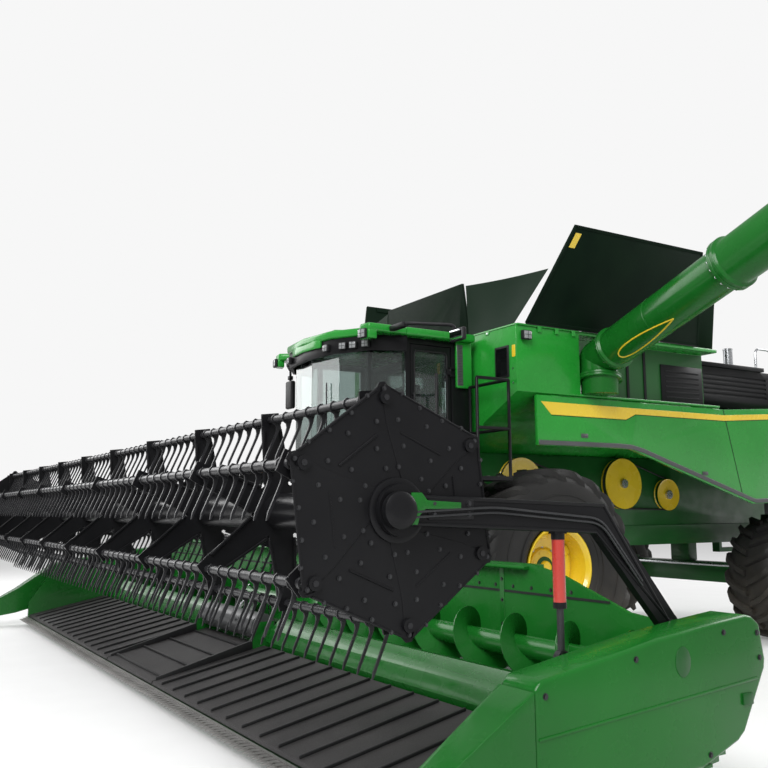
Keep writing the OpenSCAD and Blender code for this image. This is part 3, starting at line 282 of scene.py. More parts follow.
moulded("tyre_rubber", (12, 12, 12), (22, 21, 20), 0.55, 90.0, 0.15, dust=0.55)
moulded("belt_rubber", (35, 33, 34), (55, 52, 52), 0.55, 140.0, 0.25)
moulded("slat_rubber", (15, 15, 16), (24, 24, 25), 0.42, 90.0, 0.1, slot="belt_rubber")
moulded("boot_rubber", (12, 12, 13), (20, 20, 21), 0.5, 120.0, 0.2)
moulded("cover_sheet", (3, 9, 5), (5, 14, 7), 0.5, 60.0, 0.04, gloss=0.05)
moulded("black_plastic", (9, 9, 10), (15, 15, 17), 0.45, 420.0, 0.25)
moulded("tine_plastic", (14, 14, 16), (26, 26, 28), 0.30, 80.0, 0.05, slot="black_paint")
moulded("cab_trim", (60, 60, 63), (85, 85, 90), 0.6, 260.0, 0.25)


# %% Cloth of the folding corners and the seat
def woven(name, colour, second, threads, rough=0.85, sheen=0.3, slot=None):
    tree, shader = fresh_material(name, slot)
    across, along = (
        node(tree, "ShaderNodeTexWave", {"Vector": place_on(tree), "Scale": threads, "Distortion": 0.4},
             bands_direction=direction).outputs["Fac"] for direction in "XZ")
    weave = maths(tree, "MULTIPLY", across, along)
    plug(tree, shader, {
        "Base Color": blend(tree, weave, rgb(*colour), rgb(*second)), "Roughness": rough,
        "Sheen Weight": sheen, "Specular IOR Level": 0.2, "Normal": bump(tree, weave, 0.3, 0.001)})


woven("corner_cloth", (5, 16, 8), (9, 24, 12), 160.0, 0.75, 0.02)
woven("seat_cloth", (45, 46, 50), (100, 100, 110), 130.0, slot="cab_trim")


# %% Glass and lamp lenses
def clear(name, colour, transmission, rough, gloss=0.5, slot="lamp_lens"):
    tree, shader = fresh_material(name, slot)
    where = place_on(tree)
    plug(tree, shader, {
        "Base Color": mottled(tree, where, 1.2, colour, [c * 0.93 for c in colour]),
        "Roughness": spread(tree, noise(tree, where, 3.0, 5.0), rough, rough * 1.8),
        "Transmission Weight": transmission, "IOR": 1.45, "Specular IOR Level": gloss})


clear("tinted_glass", (460, 540, 520), 0.96, 0.0, gloss=0.3, slot="tinted_glass")
clear("lamp_lens", (900, 930, 950), 0.7, 0.04)
clear("amber_lens", (950, 330, 20), 0.45, 0.08)
clear("red_lens", (750, 20, 15), 0.35, 0.08)

# %% [markdown]
# ## A finish for every CAD node
# Solids that keep their own shape only need a finish. It follows the record's slots, where grey metal is
# painted, and three nodes take a finish of their own.

# %% Give each node its finish
# The feeder house takes the green that is darkened as painted shade.
OWN_FINISH = {"lift_rods": "chrome_rod", "reel_rods": "dull_steel", "feeder_house": "painted_shade_green"}
for part in frame["record"]["subparts"]:
    solid = frame["nodes"][part["node"]]
    finish = OWN_FINISH.get(part["node"], part["material_slot"])
    solid.data.materials.clear()
    solid.data.materials.append(FINISH["grey_paint" if finish == "grey_metal" else finish][0])

# %% [markdown]
# ## Tools for modelling
# Each new piece starts as a primitive that is added at its size and place, and is shaped with Blender's own
# operators. The helpers below wrap the steps that come back all the time: leave edit mode, pick a piece, set
# its origin back to the world's, round its edges, turn a profile round an axis, and copy what repeats. They
# take millimetres. A shape that is given a width gets its edges rounded by it straight away.


# %% Picking and settling
def idle():
    if bpy.context.object and bpy.context.object.mode != "OBJECT":
        bpy.ops.object.mode_set(mode="OBJECT")
    bpy.ops.object.select_all(action="DESELECT")


def pick(*pieces):
    idle()
    for piece in pieces:
        piece.select_set(True)
    bpy.context.view_layer.objects.active = pieces[0]


def settle(piece=None, name="shape"):
    piece = piece or bpy.context.object
    pick(piece)
    bpy.ops.object.transform_apply(location=True, rotation=True, scale=True)
    piece.name = piece.data.name = name
    return piece


def join(pieces, name="shape"):
    pick(*pieces)
    if len(pieces) > 1:
        bpy.ops.object.join()
    return settle(name=name)


def edit(piece, *steps):
    pick(piece)
    bpy.ops.object.mode_set(mode="EDIT")
    bpy.ops.mesh.select_all(action="SELECT")
    for step in steps:
        step()
    bpy.ops.object.mode_set(mode="OBJECT")
    return piece


def outwards():
    bpy.ops.mesh.select_all(action="SELECT")
    bpy.ops.mesh.remove_doubles(threshold=0.00002)
    bpy.ops.mesh.normals_make_consistent(inside=False)


def applied(piece, kind, **settings):
    pick(piece)
    modifier = piece.modifiers.new(kind, kind)
    for key, value in settings.items():
        setattr(modifier, key, value)
    bpy.ops.object.modifier_apply(modifier=modifier.name)
    return piece


def bevelled(piece, width, segments=2, angle=30):
    return applied(piece, "BEVEL", width=width / 1000, segments=segments, limit_method="ANGLE",
                   angle_limit=math.radians(angle)) if width else piece


def subdivided(piece, cuts):
    return edit(piece, lambda: bpy.ops.mesh.subdivide(number_cuts=cuts))


def reshaped(piece, place_of):
    for vertex in piece.data.vertices:
        vertex.co = at(*place_of(*((vertex.co - ORIGIN) * 1000)))
    return piece


# %% Boxes, rods, prisms and turned shapes
def box(low, high, width=0, segments=2, angle=30):
    low, high = metres(*low), metres(*high)
    idle()
    bpy.ops.mesh.primitive_cube_add(size=1, location=(low + high) / 2 + ORIGIN, scale=high - low)
    return bevelled(settle(), width, segments, angle)


def rod(start, end, radius, sides=16, tip=None):
    start, end = at(*start), at(*end)
    idle()
    bpy.ops.mesh.primitive_cone_add(
        vertices=sides, radius1=radius / 1000, radius2=(tip or radius) / 1000, depth=(end - start).length,
        location=(start + end) / 2, rotation=(end - start).to_track_quat("Z", "Y").to_euler())
    return settle()


def rod_x(x0, x1, y, z, radius, sides=16):
    return rod((x0, y, z), (x1, y, z), radius, sides)


AXES = {"X": Vector((1, 0, 0)), "Z": Vector((0, 0, 1))}


def prism(outline, axis, start, end, width=0, segments=2, angle=30):
    idle()
    bpy.ops.mesh.primitive_circle_add(vertices=len(outline), radius=1, fill_type="NGON")
    piece = bpy.context.object
    for vertex, point in zip(piece.data.vertices, outline):
        vertex.co = at(start, *point) if axis == "X" else at(*point, start)
    rise = AXES[axis] * ((end - start) / 1000)
    edit(piece, lambda: bpy.ops.mesh.extrude_region_move(TRANSFORM_OT_translate={"value": rise}), outwards)
    return bevelled(settle(), width, segments, angle)


def turned(profile, centre, axis="X", steps=48):
    idle()
    bpy.ops.mesh.primitive_circle_add(vertices=len(profile), radius=1, fill_type="NOTHING")
    piece = bpy.context.object
    for vertex, (radius, along) in zip(piece.data.vertices, profile):
        vertex.co = metres(along, 0, radius) if axis == "X" else metres(radius, 0, along)
    edit(piece, lambda: bpy.ops.mesh.spin(steps=steps, angle=2 * math.pi, center=(0, 0, 0), axis=AXES[axis]),
         outwards)
    piece.location = at(*centre)
    return settle()


# %% Copies
def copied(piece, matrix):
    twin = bpy.data.objects.new(piece.name, piece.data.copy())
    twin.data.transform(matrix)
    if matrix.determinant() < 0:
        twin.data.flip_normals()
    bpy.context.collection.objects.link(twin)
    return twin


def repeated(piece, matrices):
    twins = [copied(piece, matrix) for matrix in matrices]
    bpy.data.objects.remove(piece)
    return join(twins)


def moved(x, y=0, z=0):
    return Matrix.Translation(metres(x, y, z))


def turned_about(angle, axis, place):
    there = Matrix.Translation(at(*place))
    return there @ Matrix.Rotation(math.radians(angle), 4, axis) @ there.inverted()


TO_LOCAL = Matrix.Translation(-ORIGIN)
MIRROR = Matrix.Translation((2 * ORIGIN.x, 0, 0)) @ Matrix.Scale(-1, 4, (1, 0, 0))


def circle(count, radius, first=0):
    angles = [2 * math.pi * (k + first) / count for k in range(count)]
    return [(radius * math.cos(angle), radius * math.sin(angle)) for angle in angles]


# %% Dressing a piece
def dress(name, pieces, finish, body="machine", replaced=(), shading=35, twin=False):
    piece = join(pieces if isinstance(pieces, list) else [pieces], name)
    if twin:
        piece = join([piece, copied(piece, MIRROR)], name)
    material, slot = FINISH[finish]
    piece.data.materials.clear()
    piece.data.materials.append(material)
    if shading:
        pick(piece)
        bpy.ops.object.shade_smooth_by_angle(angle=math.radians(shading))
    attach(piece, body)
    if replaced:
        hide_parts(*replaced)
    print(piece.name, len(piece.data.polygons), "faces on", body)
    return piece


def softened(solid, width, finish, body="machine", segments=2, angle=28):
    piece = bpy.data.objects.new(solid, frame["nodes"][solid].data.copy())
    bpy.context.collection.objects.link(piece)
    edit(piece, lambda: bpy.ops.mesh.remove_doubles(threshold=0.0001),
         lambda: bpy.ops.mesh.dissolve_limited(angle_limit=math.radians(1.5)))
    dress(solid + "_dressed", bevelled(piece, width, segments, angle), finish, body, (solid,), 40)


# %% Bolts and pipes
def bolt_heads(places, axis, radius=10, height=8):
    radius, height = radius / 1000, height / 1000
    idle()
    bpy.ops.mesh.primitive_cylinder_add(vertices=6, radius=radius, depth=height)
    head = bpy.context.object
    bpy.ops.mesh.primitive_cylinder_add(vertices=12, radius=radius * 1.45, depth=height * 0.35,
                                        location=(0, 0, -height * 0.45))
    head = join([head, bpy.context.object])
    lean = Vector(axis).to_track_quat("Z", "Y").to_matrix().to_4x4()
    return repeated(head, [Matrix.Translation(at(*place)) @ lean for place in places])


def rounded_path(points, radius, steps=5):
    path = [points[0]]
    for before, here, after in zip(points, points[1:], points[2:]):
        into, out = (before - here), (after - here)
        reach = min(radius, into.length * 0.45, out.length * 0.45)
        first, last = here + into.normalized() * reach, here + out.normalized() * reach
        for t in [step / steps for step in range(steps + 1)]:
            path.append(first * (1 - t) ** 2 + here * 2 * t * (1 - t) + last * t ** 2)
    return path + [points[-1]]


def pipe(points, radius, corner=80, sides=3):
    idle()
    bpy.ops.curve.primitive_bezier_curve_add()
    data = bpy.context.object.data
    data.splines.clear()
    path = rounded_path([metres(*point) for point in points], corner / 1000)
    spline = data.splines.new("POLY")
    spline.points.add(len(path) - 1)
    for point, place in zip(spline.points, path):
        point.co = (*(place + ORIGIN), 1)
    data.dimensions = "3D"
    data.bevel_depth = radius / 1000
    data.bevel_resolution = sides
    data.use_fill_caps = True
    bpy.ops.object.convert(target="MESH")
    edit(bpy.context.object, outwards)
    return settle()


print("tools ready")

# %% [markdown]
# ## The reel's tine bars
# The reel is what a visitor sees first. Six bars turn round its tube, and each bar carries a row of curved
# plastic tines that keep hanging while the reel turns. One tine is drawn as an outline and given its
# thickness, then it is copied along one bar, and the bar is copied to the other five places.

# %% Reel measures
REEL_Y, REEL_Z = -4135, 1620
BAT_CIRCLE = 523
REEL_PHASE = 6.5
CRANK = 35
REEL_HALF = 5150
BAYS = 9
TINES_PER_BAY = 8
BAY = (2 * REEL_HALF - 60) / BAYS
TINE_PITCH = BAY / TINES_PER_BAY
TINE_TILT = -15
TINE_OUTLINE = [
    (-26, 10), (-14, 28), (12, 29), (29, 14), (37, -18), (38, -50), (34, -85), (27, -125), (19, -175),
    (11, -225), (6, -257), (0, -260), (-3, -225), (5, -175), (13, -125), (19, -85), (19, -55), (10, -36),
    (-12, -28), (-26, -12)]
STARS_X = [30 - REEL_HALF + k * BAY for k in range(BAYS + 1)]
SIXTHS = range(0, 360, 60)


def round_reel(radius, degrees, aside=0, middle=REEL_Y):
    angle = math.radians(REEL_PHASE + degrees)
    return (middle - radius * math.sin(angle) - aside * math.cos(angle),
            REEL_Z + radius * math.cos(angle) - aside * math.sin(angle))


print("tine pitch", round(TINE_PITCH, 1))

# %% One bar with its tines
bat_y, bat_z = round_reel(BAT_CIRCLE, 0)
tine = prism([(bat_y + y, bat_z + z) for y, z in TINE_OUTLINE], "X", -5, 5)
clamp = box((-14, bat_y + 12, bat_z - 24), (14, bat_y + 36, bat_z + 4), 4, 1)
tine = repeated(join([tine, clamp]), [turned_about(TINE_TILT, "X", (0, bat_y, bat_z))])
steps = [(j + 0.5) * TINE_PITCH for j in range(TINES_PER_BAY)]
row = repeated(tine, [moved(x + step) for x in STARS_X[:BAYS] for step in steps])
crank_outline = [(-20, -24), (CRANK, -24), (CRANK + 20, -12), (CRANK + 20, 12), (CRANK, 24), (-20, 24)]
crank = prism([(bat_y + y, bat_z + z) for y, z in crank_outline], "X", REEL_HALF + 5, REEL_HALF + 25, 3)
boss = rod_x(REEL_HALF - 1, REEL_HALF + 25, bat_y, bat_z, 30)
pin = rod_x(REEL_HALF + 5, REEL_HALF + 73, bat_y + CRANK, bat_z, 14)
ends = join([crank, boss, pin])
first_bat = join([rod_x(-REEL_HALF, REEL_HALF, bat_y, bat_z, 22, 14), row, ends, copied(ends, MIRROR)])
for i, turn in enumerate(SIXTHS, 1):
    y, z = round_reel(BAT_CIRCLE, turn)
    bat = "reel_bat_%d" % i
    dress("tine_bar_%d" % i, copied(first_bat, moved(0, y - bat_y, z - bat_z)), "tine_plastic", bat, (bat,))
bpy.data.objects.remove(first_bat)

# %% [markdown]
# ## The reel's tube, stars and end shields
# The stars that carry the bars are pressed plates: their arms have turned edges and are bolted to a collar on
# the tube. The end shields are six overlapping dark sheets with a slot at each corner, held by many small
# bolts, so each sheet is a triangle of its own with a small step to the next one.

# %% Stars and collars
REEL_TUBE = 100
collar = turned([(REEL_TUBE + 0.5, -45), (REEL_TUBE + 12, -45), (REEL_TUBE + 12, -14), (165, -14), (165, -7),
                 (REEL_TUBE + 0.5, -7)], (0, REEL_Y, REEL_Z), steps=30)
edges = [rod((0, *round_reel(160, turn, 78 * side)), (0, *round_reel(BAT_CIRCLE - 55, turn, 52 * side)), 9, 6)
         for turn in SIXTHS for side in (-1, 1)]
edges = repeated(join(edges), [moved(x + 12) for x in STARS_X])
dress("reel_star_fittings", [repeated(collar, [moved(x) for x in STARS_X]), edges], "black_paint",
      "reel_core")
spots = [(x - 9.5, *round_reel(radius, turn, aside)) for x in STARS_X for turn in SIXTHS
         for radius, aside in ((195, 35), (195, -35), (BAT_CIRCLE - 50, 0), (330, 20))]
dress("star_bolts", bolt_heads(spots, (-1, 0, 0)), "dull_steel", "reel_core")

# %% End shields
SHIELD_Y = REEL_Y + CRANK
SHIELD_IN, SHIELD_OUT = 5190, 5215
SHEET = [(128, -24), (400, -2.6), (530, -2.4), (535, 3.5), (588, 1.2), (588, 59), (545, 61.5), (400, 60.8),
         (128, 38), (128, 8)]
CORNER = [(545, -3.6), (575, -3.6), (600, -1.5), (600, 1.5), (575, 3.6), (545, 3.6)]
BOLTS = [(200, 10), (200, 50), (300, 14), (300, 46), (420, 8), (420, 52), (500, 22), (500, 38), (545, 10),
         (545, 50), (430, 30), (565, 0)]


def on_shield(outline, turn):
    return [round_reel(radius, turn + degrees, middle=SHIELD_Y) for radius, degrees in outline]


sheets = []
for i, turn in enumerate(SIXTHS):
    inner = SHIELD_IN + 6 + 4 * (i % 2)
    sheets.append(prism(on_shield(SHEET, turn), "X", inner, inner + 5, 1.5, 1))
    sheets.append(prism(on_shield(CORNER, turn), "X", SHIELD_IN, SHIELD_IN + 6, 1.5, 1))
    for radius, first, last in ((565, 4, 56), (360, 10, 50)):
        start, end = on_shield([(radius, first), (radius, last)], turn)
        sheets.append(rod((SHIELD_IN + 13, *start), (SHIELD_IN + 13, *end), 6, 6))
    sheets.append(rod_x(SHIELD_IN + 4, SHIELD_OUT + 4, *on_shield([(BAT_CIRCLE, 0)], turn)[0], 32, 20))
hub = turned([(120.5, SHIELD_IN + 1), (150, SHIELD_IN + 1), (150, SHIELD_OUT), (140, SHIELD_OUT + 4),
              (120.5, SHIELD_OUT + 4)], (0, SHIELD_Y, REEL_Z), steps=40)
dress("reel_end_shields", sheets + [hub], "black_paint", "reel_shields", ("reel_shields",), twin=True)
spots = [(SHIELD_IN + 19, *spot) for turn in SIXTHS for spot in on_shield(BOLTS, turn)]
dress("shield_bolts", bolt_heads(spots, (1, 0, 0), 8, 6), "dull_steel", "reel_shields", twin=True)

# %% [markdown]
# ## The reel arms
# Each arm is a folded steel channel that rises from the back of the header to the reel's bearing. On the real
# machine the drive, the green bearing bracket and the oil pipes sit on its outer face.

# %% Arm fittings
ARM_OUT = 5282
ridge = [(-2435, 1045), (-2865, 1640), (-4100, 1682)]
belly = [(-2375, 985), (-2925, 1505), (-4100, 1562)]
parts = [rod((ARM_OUT - 4, *first), (ARM_OUT - 4, *last), 11, 8)
         for line in (ridge, belly) for first, last in zip(line, line[1:])]
parts.append(turned([(0, ARM_OUT - 10), (85, ARM_OUT - 10), (85, ARM_OUT + 22), (70, ARM_OUT + 32),
                     (40, ARM_OUT + 36), (0, ARM_OUT + 36)], (0, REEL_Y, REEL_Z), steps=32))
parts.append(box((ARM_OUT - 2, -3980, 1575), (ARM_OUT + 8, -3720, 1672), 6))
dress("reel_arm_fittings", parts, "black_paint", "reel_arms", twin=True)
bracket = prism([(-4075, 1700), (-4020, 1700), (-3990, 1665), (-3800, 1655), (-3800, 1625), (-4000, 1625),
                 (-4030, 1600), (-4045, 1555), (-4085, 1555)], "X", ARM_OUT + 8, ARM_OUT + 16, 2)
dress("reel_bearing_brackets", bracket, "painted_shade_green", "reel_arms", twin=True)
spots = [(ARM_OUT + 26, REEL_Y + y, REEL_Z + z) for y, z in circle(6, 58)]
spots += [(ARM_OUT + 12, y, z) for y, z in ((-3950, 1600), (-3750, 1600), (-3750, 1650), (-3950, 1650))]
dress("reel_arm_bolts", bolt_heads(spots, (1, 0, 0), 10, 9), "dull_steel", "reel_arms", twin=True)
OIL_LINE = [(-4060, 1640), (-3600, 1660), (-2900, 1600), (-2620, 1270)]
oil_pipes = [pipe([(ARM_OUT + 12, y, z + shift) for y, z in OIL_LINE], 7) for shift in (-28, -52)]
dress("reel_oil_pipes", oil_pipes, "dull_steel", "reel_arms", twin=True)

# %% [markdown]
# ## Belts and cross auger
# The header carries the crop on rubber belts with dark slats. Behind them a long cross auger has flights of
# opposite hands that push the crop to the middle. A flight is a strip that climbs round the tube, so one
# short edge is wound up with a Screw modifier, and the other side is its mirror image.

# %% Header measures
HEADER_HALF = 5240
CENTRE_HALF = 770
KNIFE_Y = -3870
BELT_SLOPE = math.radians(12)
BELT_LENGTH = 1090
BELT_Z = 150
BELT_T = 45
SLAT_PITCH = 300


def on_belt(along, up=0):
    return KNIFE_Y + along * math.cos(BELT_SLOPE), BELT_Z + along * math.sin(BELT_SLOPE) + up


def belt_body(x0, x1):
    end, low = BELT_LENGTH - 12, 3 - BELT_T
    outline = [(12, low), (end, low), (end + 12, -BELT_T / 2), (end, -3), (12, -3), (0, -BELT_T / 2)]
    return prism([on_belt(*point) for point in outline], "X", x0, x1)


# %% Belts with slats, and guards over the ribs between the belts
outer = belt_body(CENTRE_HALF + 15, HEADER_HALF - 20)
centre = belt_body(15 - CENTRE_HALF, CENTRE_HALF - 15)
dress("belts", [outer, copied(outer, MIRROR), centre], "belt_rubber", "header", ("draper_belts",))
GUARD_OUTLINE = [(-3833, 120), (-3833, 179), (-2952, 421), (-2930, 460), (-2925, 340)]
guard = prism(GUARD_OUTLINE, "X", CENTRE_HALF - 13.5, CENTRE_HALF + 13.5, 3)
dress("belt_rib_guards", guard, "slat_rubber", "header", twin=True)
slat = subdivided(box((-12, on_belt(25)[0], -4), (12, on_belt(BELT_LENGTH - 30)[0], 17)), 1)
reshaped(slat, lambda x, y, z: (x, y, z + BELT_Z + (y - KNIFE_Y) * math.tan(BELT_SLOPE)))
slats_x = range(CENTRE_HALF + 211, HEADER_HALF - 89, SLAT_PITCH)
slats = repeated(bevelled(slat, 5), [moved(side * x) for x in slats_x for side in (1, -1)])
cross = box((40 - CENTRE_HALF, -12, -3), (CENTRE_HALF - 40, 12, 16), 5)
cross = repeated(cross, [moved(0, *on_belt(100 + 280 * k)) for k in range(4)])
dress("belt_slats", [slats, cross], "slat_rubber", "header")

# %% Cross auger
CROSS_Y, CROSS_Z = -2400, 730
FLIGHT_R = 209
TUBE_R = 75
FLIGHT_PITCH = 520
FLIGHT_START, FLIGHT_END = CENTRE_HALF + 60, 5120
idle()
bpy.ops.mesh.primitive_plane_add(size=1, location=(0, 0, 0))
flight = edit(bpy.context.object, lambda: bpy.ops.mesh.delete(type="ONLY_FACE"))
for vertex, radius in zip(flight.data.vertices, (TUBE_R - 2, FLIGHT_R) * 2):
    vertex.co = metres(0, 0, radius)
edit(flight, lambda: bpy.ops.mesh.remove_doubles(threshold=0.001))
turns = (FLIGHT_END - FLIGHT_START) / FLIGHT_PITCH
applied(flight, "SCREW", axis="X", angle=turns * 2 * math.pi, screw_offset=(FLIGHT_END - FLIGHT_START) / 1000,
        steps=round(turns * 28), render_steps=round(turns * 28), use_smooth_shade=True)
applied(flight, "SOLIDIFY", thickness=0.007, offset=0)
flight.location = at(FLIGHT_START, CROSS_Y, CROSS_Z)
edit(settle(flight), outwards)
parts = [flight, copied(flight, MIRROR), rod_x(-5200, 5200, CROSS_Y, CROSS_Z, TUBE_R, 28),
         rod_x(-5270, 5270, CROSS_Y, CROSS_Z, 25)]
parts += [rod_x(x - 30, x + 30, CROSS_Y, CROSS_Z, TUBE_R + 6, 28) for x in (-5170, -800, 800, 5170)]
dress("cross_auger", parts, "painted_shade_green", "header_auger", ("header_auger",), 30)
finger = rod((0, CROSS_Y, CROSS_Z + TUBE_R - 10), (0, CROSS_Y, CROSS_Z + 190), 9, 8)
turns = [moved(160 * k - 720) @ turned_about(k * 137, "X", (0, CROSS_Y, CROSS_Z)) for k in range(10)]
dress("auger_fingers", repeated(finger, turns), "bright_steel", "header_auger")

# %% Feed drum
belt_y, belt_z = on_belt(BELT_LENGTH)
DRUM = (0, belt_y + 20, belt_z + 150)
drum = turned([(0, -690), (120, -690), (125, -685), (125, 685), (120, 690), (0, 690)], DRUM, steps=32)
finger = rod((0, DRUM[1], DRUM[2] + 118), (0, DRUM[1], DRUM[2] + 142), 10, 8)
turns = [moved(150 * k - 600) @ turned_about(k * 72 + 36 * (k % 2), "X", DRUM) for k in range(9)]
dress("feed_drum_dressed", [drum, rod_x(-778, 778, *DRUM[1:], 25), repeated(finger, turns)], "grey_paint",
      "feed_drum", ("feed_drum",))

# %% [markdown]
# ## Header frame, knife and end shields
# The frame is welded from sheet, so its edges get a small bend radius and its long back sheet shows seams,
# bolts and a turned top edge. The knife runs in pointed guards, one every three inches, which is why one
# guard is modelled and copied along the whole width.

# %% Frame with rounded edges
# The header's sheet takes the green that is darkened as painted shade.
softened("header_frame", 4, "painted_shade_green", "header")
BACK_Y = -2110
SEAMS = (-3500, -2200, -950, 900, 2150, 3450)
seams = [box((x, BACK_Y - 4, 450), (x + 50, BACK_Y, 1200)) for x in SEAMS]
seams.append(prism([(BACK_Y + 1, 1225), (BACK_Y - 45, 1225), (BACK_Y - 52, 1213), (BACK_Y - 45, 1200),
                    (BACK_Y + 1, 1200)], "X", -3780, 3780))
dress("back_sheet_seams", bevelled(join(seams), 1.5, 1), "painted_shade_green", "header")
dress("dark_seam", box((-4550, BACK_Y - 3.5, 1030), (4550, BACK_Y, 1046)), "black_plastic", "header")
spots = [(x + 25, BACK_Y - 6, z) for x in SEAMS for z in (600, 800, 970, 1120)]
spots += [(x, BACK_Y - 3, 1075) for x in range(-4000, 4201, 200)]
dress("back_sheet_bolts", bolt_heads(spots, (0, -1, 0), 10, 7), "dull_steel", "header")
slot = prism([(-2777.5, 445), (-2772.5, 447), (-2756, 478), (-2761.5, 478)], "X", -45, 45)
slots = repeated(slot, [moved(side * (1000 + 310 * k)) for k in range(14) for side in (-1, 1)])
dress("lip_slots", slots, "black_plastic", "header")

# %% Knife and guards
GUARD_PITCH = 76.2
guard = [(-19, 30), (19, 30), (17, -10), (6, -75), (0, -88), (-6, -75), (-17, -10)]
guard = prism([(x, KNIFE_Y - 58 + y) for x, y in guard], "Z", 92, 116)
reshaped(guard, lambda x, y, z: (x, y, z + (104 - z) * 0.75 * min(1, max(0, (KNIFE_Y - 70 - y) / 76))))
count = int(2 * (HEADER_HALF - 60) / GUARD_PITCH)
guards = repeated(guard, [moved((k - (count - 1) / 2) * GUARD_PITCH) for k in range(count)])
section = [(x, KNIFE_Y + y) for x, y in ((-34, -30), (34, -30), (10, -100), (-10, -100))]
section = prism(section, "Z", 116.5, 119.5)
sections = repeated(section, [moved((k - count / 2) * GUARD_PITCH) for k in range(count + 1)])
back_bar = box((-5230, KNIFE_Y - 45, 117), (5230, KNIFE_Y - 20, 127))
beam = box((-HEADER_HALF, KNIFE_Y - 75, 75), (HEADER_HALF, KNIFE_Y - 11, 105), 4)
dress("knife_and_guards", [guards, sections, back_bar, beam], "worn_steel", "header", ("cutterbar",))

# %% End shields
SHIELD_X0, SHIELD_X1 = 5290, 5540
outline = [(-3590, 330), (-3590, 820), (-3550, 860), (-3200, 917), (-2780, 985), (-2400, 1030), (-2110, 1058),
           (-2060, 1050), (-1998, 1005), (-1966, 820), (-1975, 770), (-2165, 465), (-2220, 425), (-2500, 330)]
crease = [(-3575, 600), (-2050, 720), (-2050, 735), (-3575, 615)]
parts = [prism(outline, "X", SHIELD_X0, SHIELD_X1, 22, 3, 25),
         prism(crease, "X", SHIELD_X1 - 4, SHIELD_X1 + 5, 3)]
parts += [box((SHIELD_X1 - 90, y - 50, 315), (SHIELD_X1 - 30, y + 50, 335), 4) for y in (-3050, -2450)]
dress("end_shields_dressed", parts, "painted_shade_green", "header", ("end_shields",), 40, twin=True)
oval = [(-2620 + 55 * c, 860 + 75 * s) for c, s in circle(24, 1)]
parts = [prism(oval, "X", SHIELD_X1 - 2, SHIELD_X1 + 4, 3),
         box((SHIELD_X1 - 1, -2180, 600), (SHIELD_X1 + 10, -2100, 660), 4)]
dress("end_shield_trim", parts, "dark_green_paint", "header", twin=True)
pins = [rod_x(5228, 5291, -2400, 1000, 30, 24), rod_x(5228, 5291, -3170, 890, 15)]
dress("reel_pins", pins, "dull_steel", "header", twin=True)
spots = [(SHIELD_X1 + 4, y, z) for y, z in (
    (-3530, 400), (-3530, 790), (-2950, 900), (-2300, 980), (-2030, 960), (-2020, 830), (-2450, 390),
    (-3050, 370))]
dress("end_shield_bolts", bolt_heads(spots, (1, 0, 0), 11, 7), "dull_steel", "header", twin=True)


# %% Crop dividers
# A subdivided box is drawn out to a point that dips and leans outwards, with a knee behind its middle.
def along_divider(x, y, z):
    t = min(1, max(0, (-3592 - y) / 1198))
    near, far = min(1, t * 2.6), max(0, t - 0.38) / 0.62
    near_z, far_z = min(1, t / 0.382), max(0, t - 0.382) / 0.618
    inner, outer = SHIELD_X0 + 10 * near + 110 * far, SHIELD_X1 - 40 * near - 60 * far
    low, high = 300 - 120 * near_z - 120 * far_z, 815 - 305 * near_z - 400 * far_z
    across, up = (x - SHIELD_X0) / 250, (z - 190) / 520
    return inner + across * (outer - inner), -3592.5 - t * 1207.5, low + up * (high - low)


divider = subdivided(box((SHIELD_X0, -4790, 190), (SHIELD_X1, -3590, 710)), 7)
bevelled(reshaped(divider, along_divider), 12, 3)
dress("crop_dividers", divider, "painted_shade_green", "header", ("dividers",), 50, twin=True)
tip = rod((5405, -4500, 205), (5405, -4795, 75), 16, 12, 8)
dress("divider_tips", tip, "worn_steel", "header", twin=True)

# %% Bands of the reel lift cylinders
bands = [rod((5257, -3170, z), (5257, -3170, z + height), 34.5, 20) for z, height in ((1130, 30), (1470, 28))]
dress("cylinder_bands", bands, "black_paint", "reel_arms", twin=True)

# %% [markdown]
# ## Wheels
# A farm tyre is a smooth carcass with tall slanted lugs, which bite the soil on the left and on the right
# in turn. The carcass is one profile turned round the axle. One lug is swept from the middle of the tread
# over the shoulder, then copied round, and the other hand is its half turn about the radius.


# %% A shape swept through cross-sections
def swept(sections):
    idle()
    bpy.ops.mesh.primitive_circle_add(vertices=len(sections[0]), radius=1, fill_type="NGON")
    piece = bpy.context.object
    corners = {(round(v.co.x, 4), round(v.co.y, 4)): v.index for v in piece.data.vertices}

    def rise():
        bpy.ops.mesh.extrude_region_move(TRANSFORM_OT_translate={"value": (0, 0, 1)})

    edit(piece, *[rise] * (len(sections) - 1))
    for vertex in piece.data.vertices:
        corner = corners[(round(vertex.co.x, 4), round(vertex.co.y, 4))]
        vertex.co = metres(*sections[round(vertex.co.z)][corner])
    return edit(piece, outwards)


# %% Tyres
def tyre_profile(d, w, rim_d, lug):
    r, bead = d / 2, rim_d / 2
    floor, side, wall = r - lug, w / 2, r - bead
    half = [(bead + 4, side - 88), (bead + 22, side - 70), (bead + 55, side - 48), (bead + 75, side - 41),
            (bead + 80, side - 32), (bead + 105, side - 24), (bead + 0.45 * wall, side - 4),
            (bead + 0.56 * wall, side), (floor - 105, side - 6), (floor - 60, side - 20),
            (floor - 22, side - 62), (floor - 4, side - 130), (floor + 2, w / 4), (floor + 4, 0)]
    outer = half + [(radius, -along) for radius, along in reversed(half[:-1])]
    return outer + [(bead + 4, -0.30 * w), (bead + 4, 0.30 * w)]


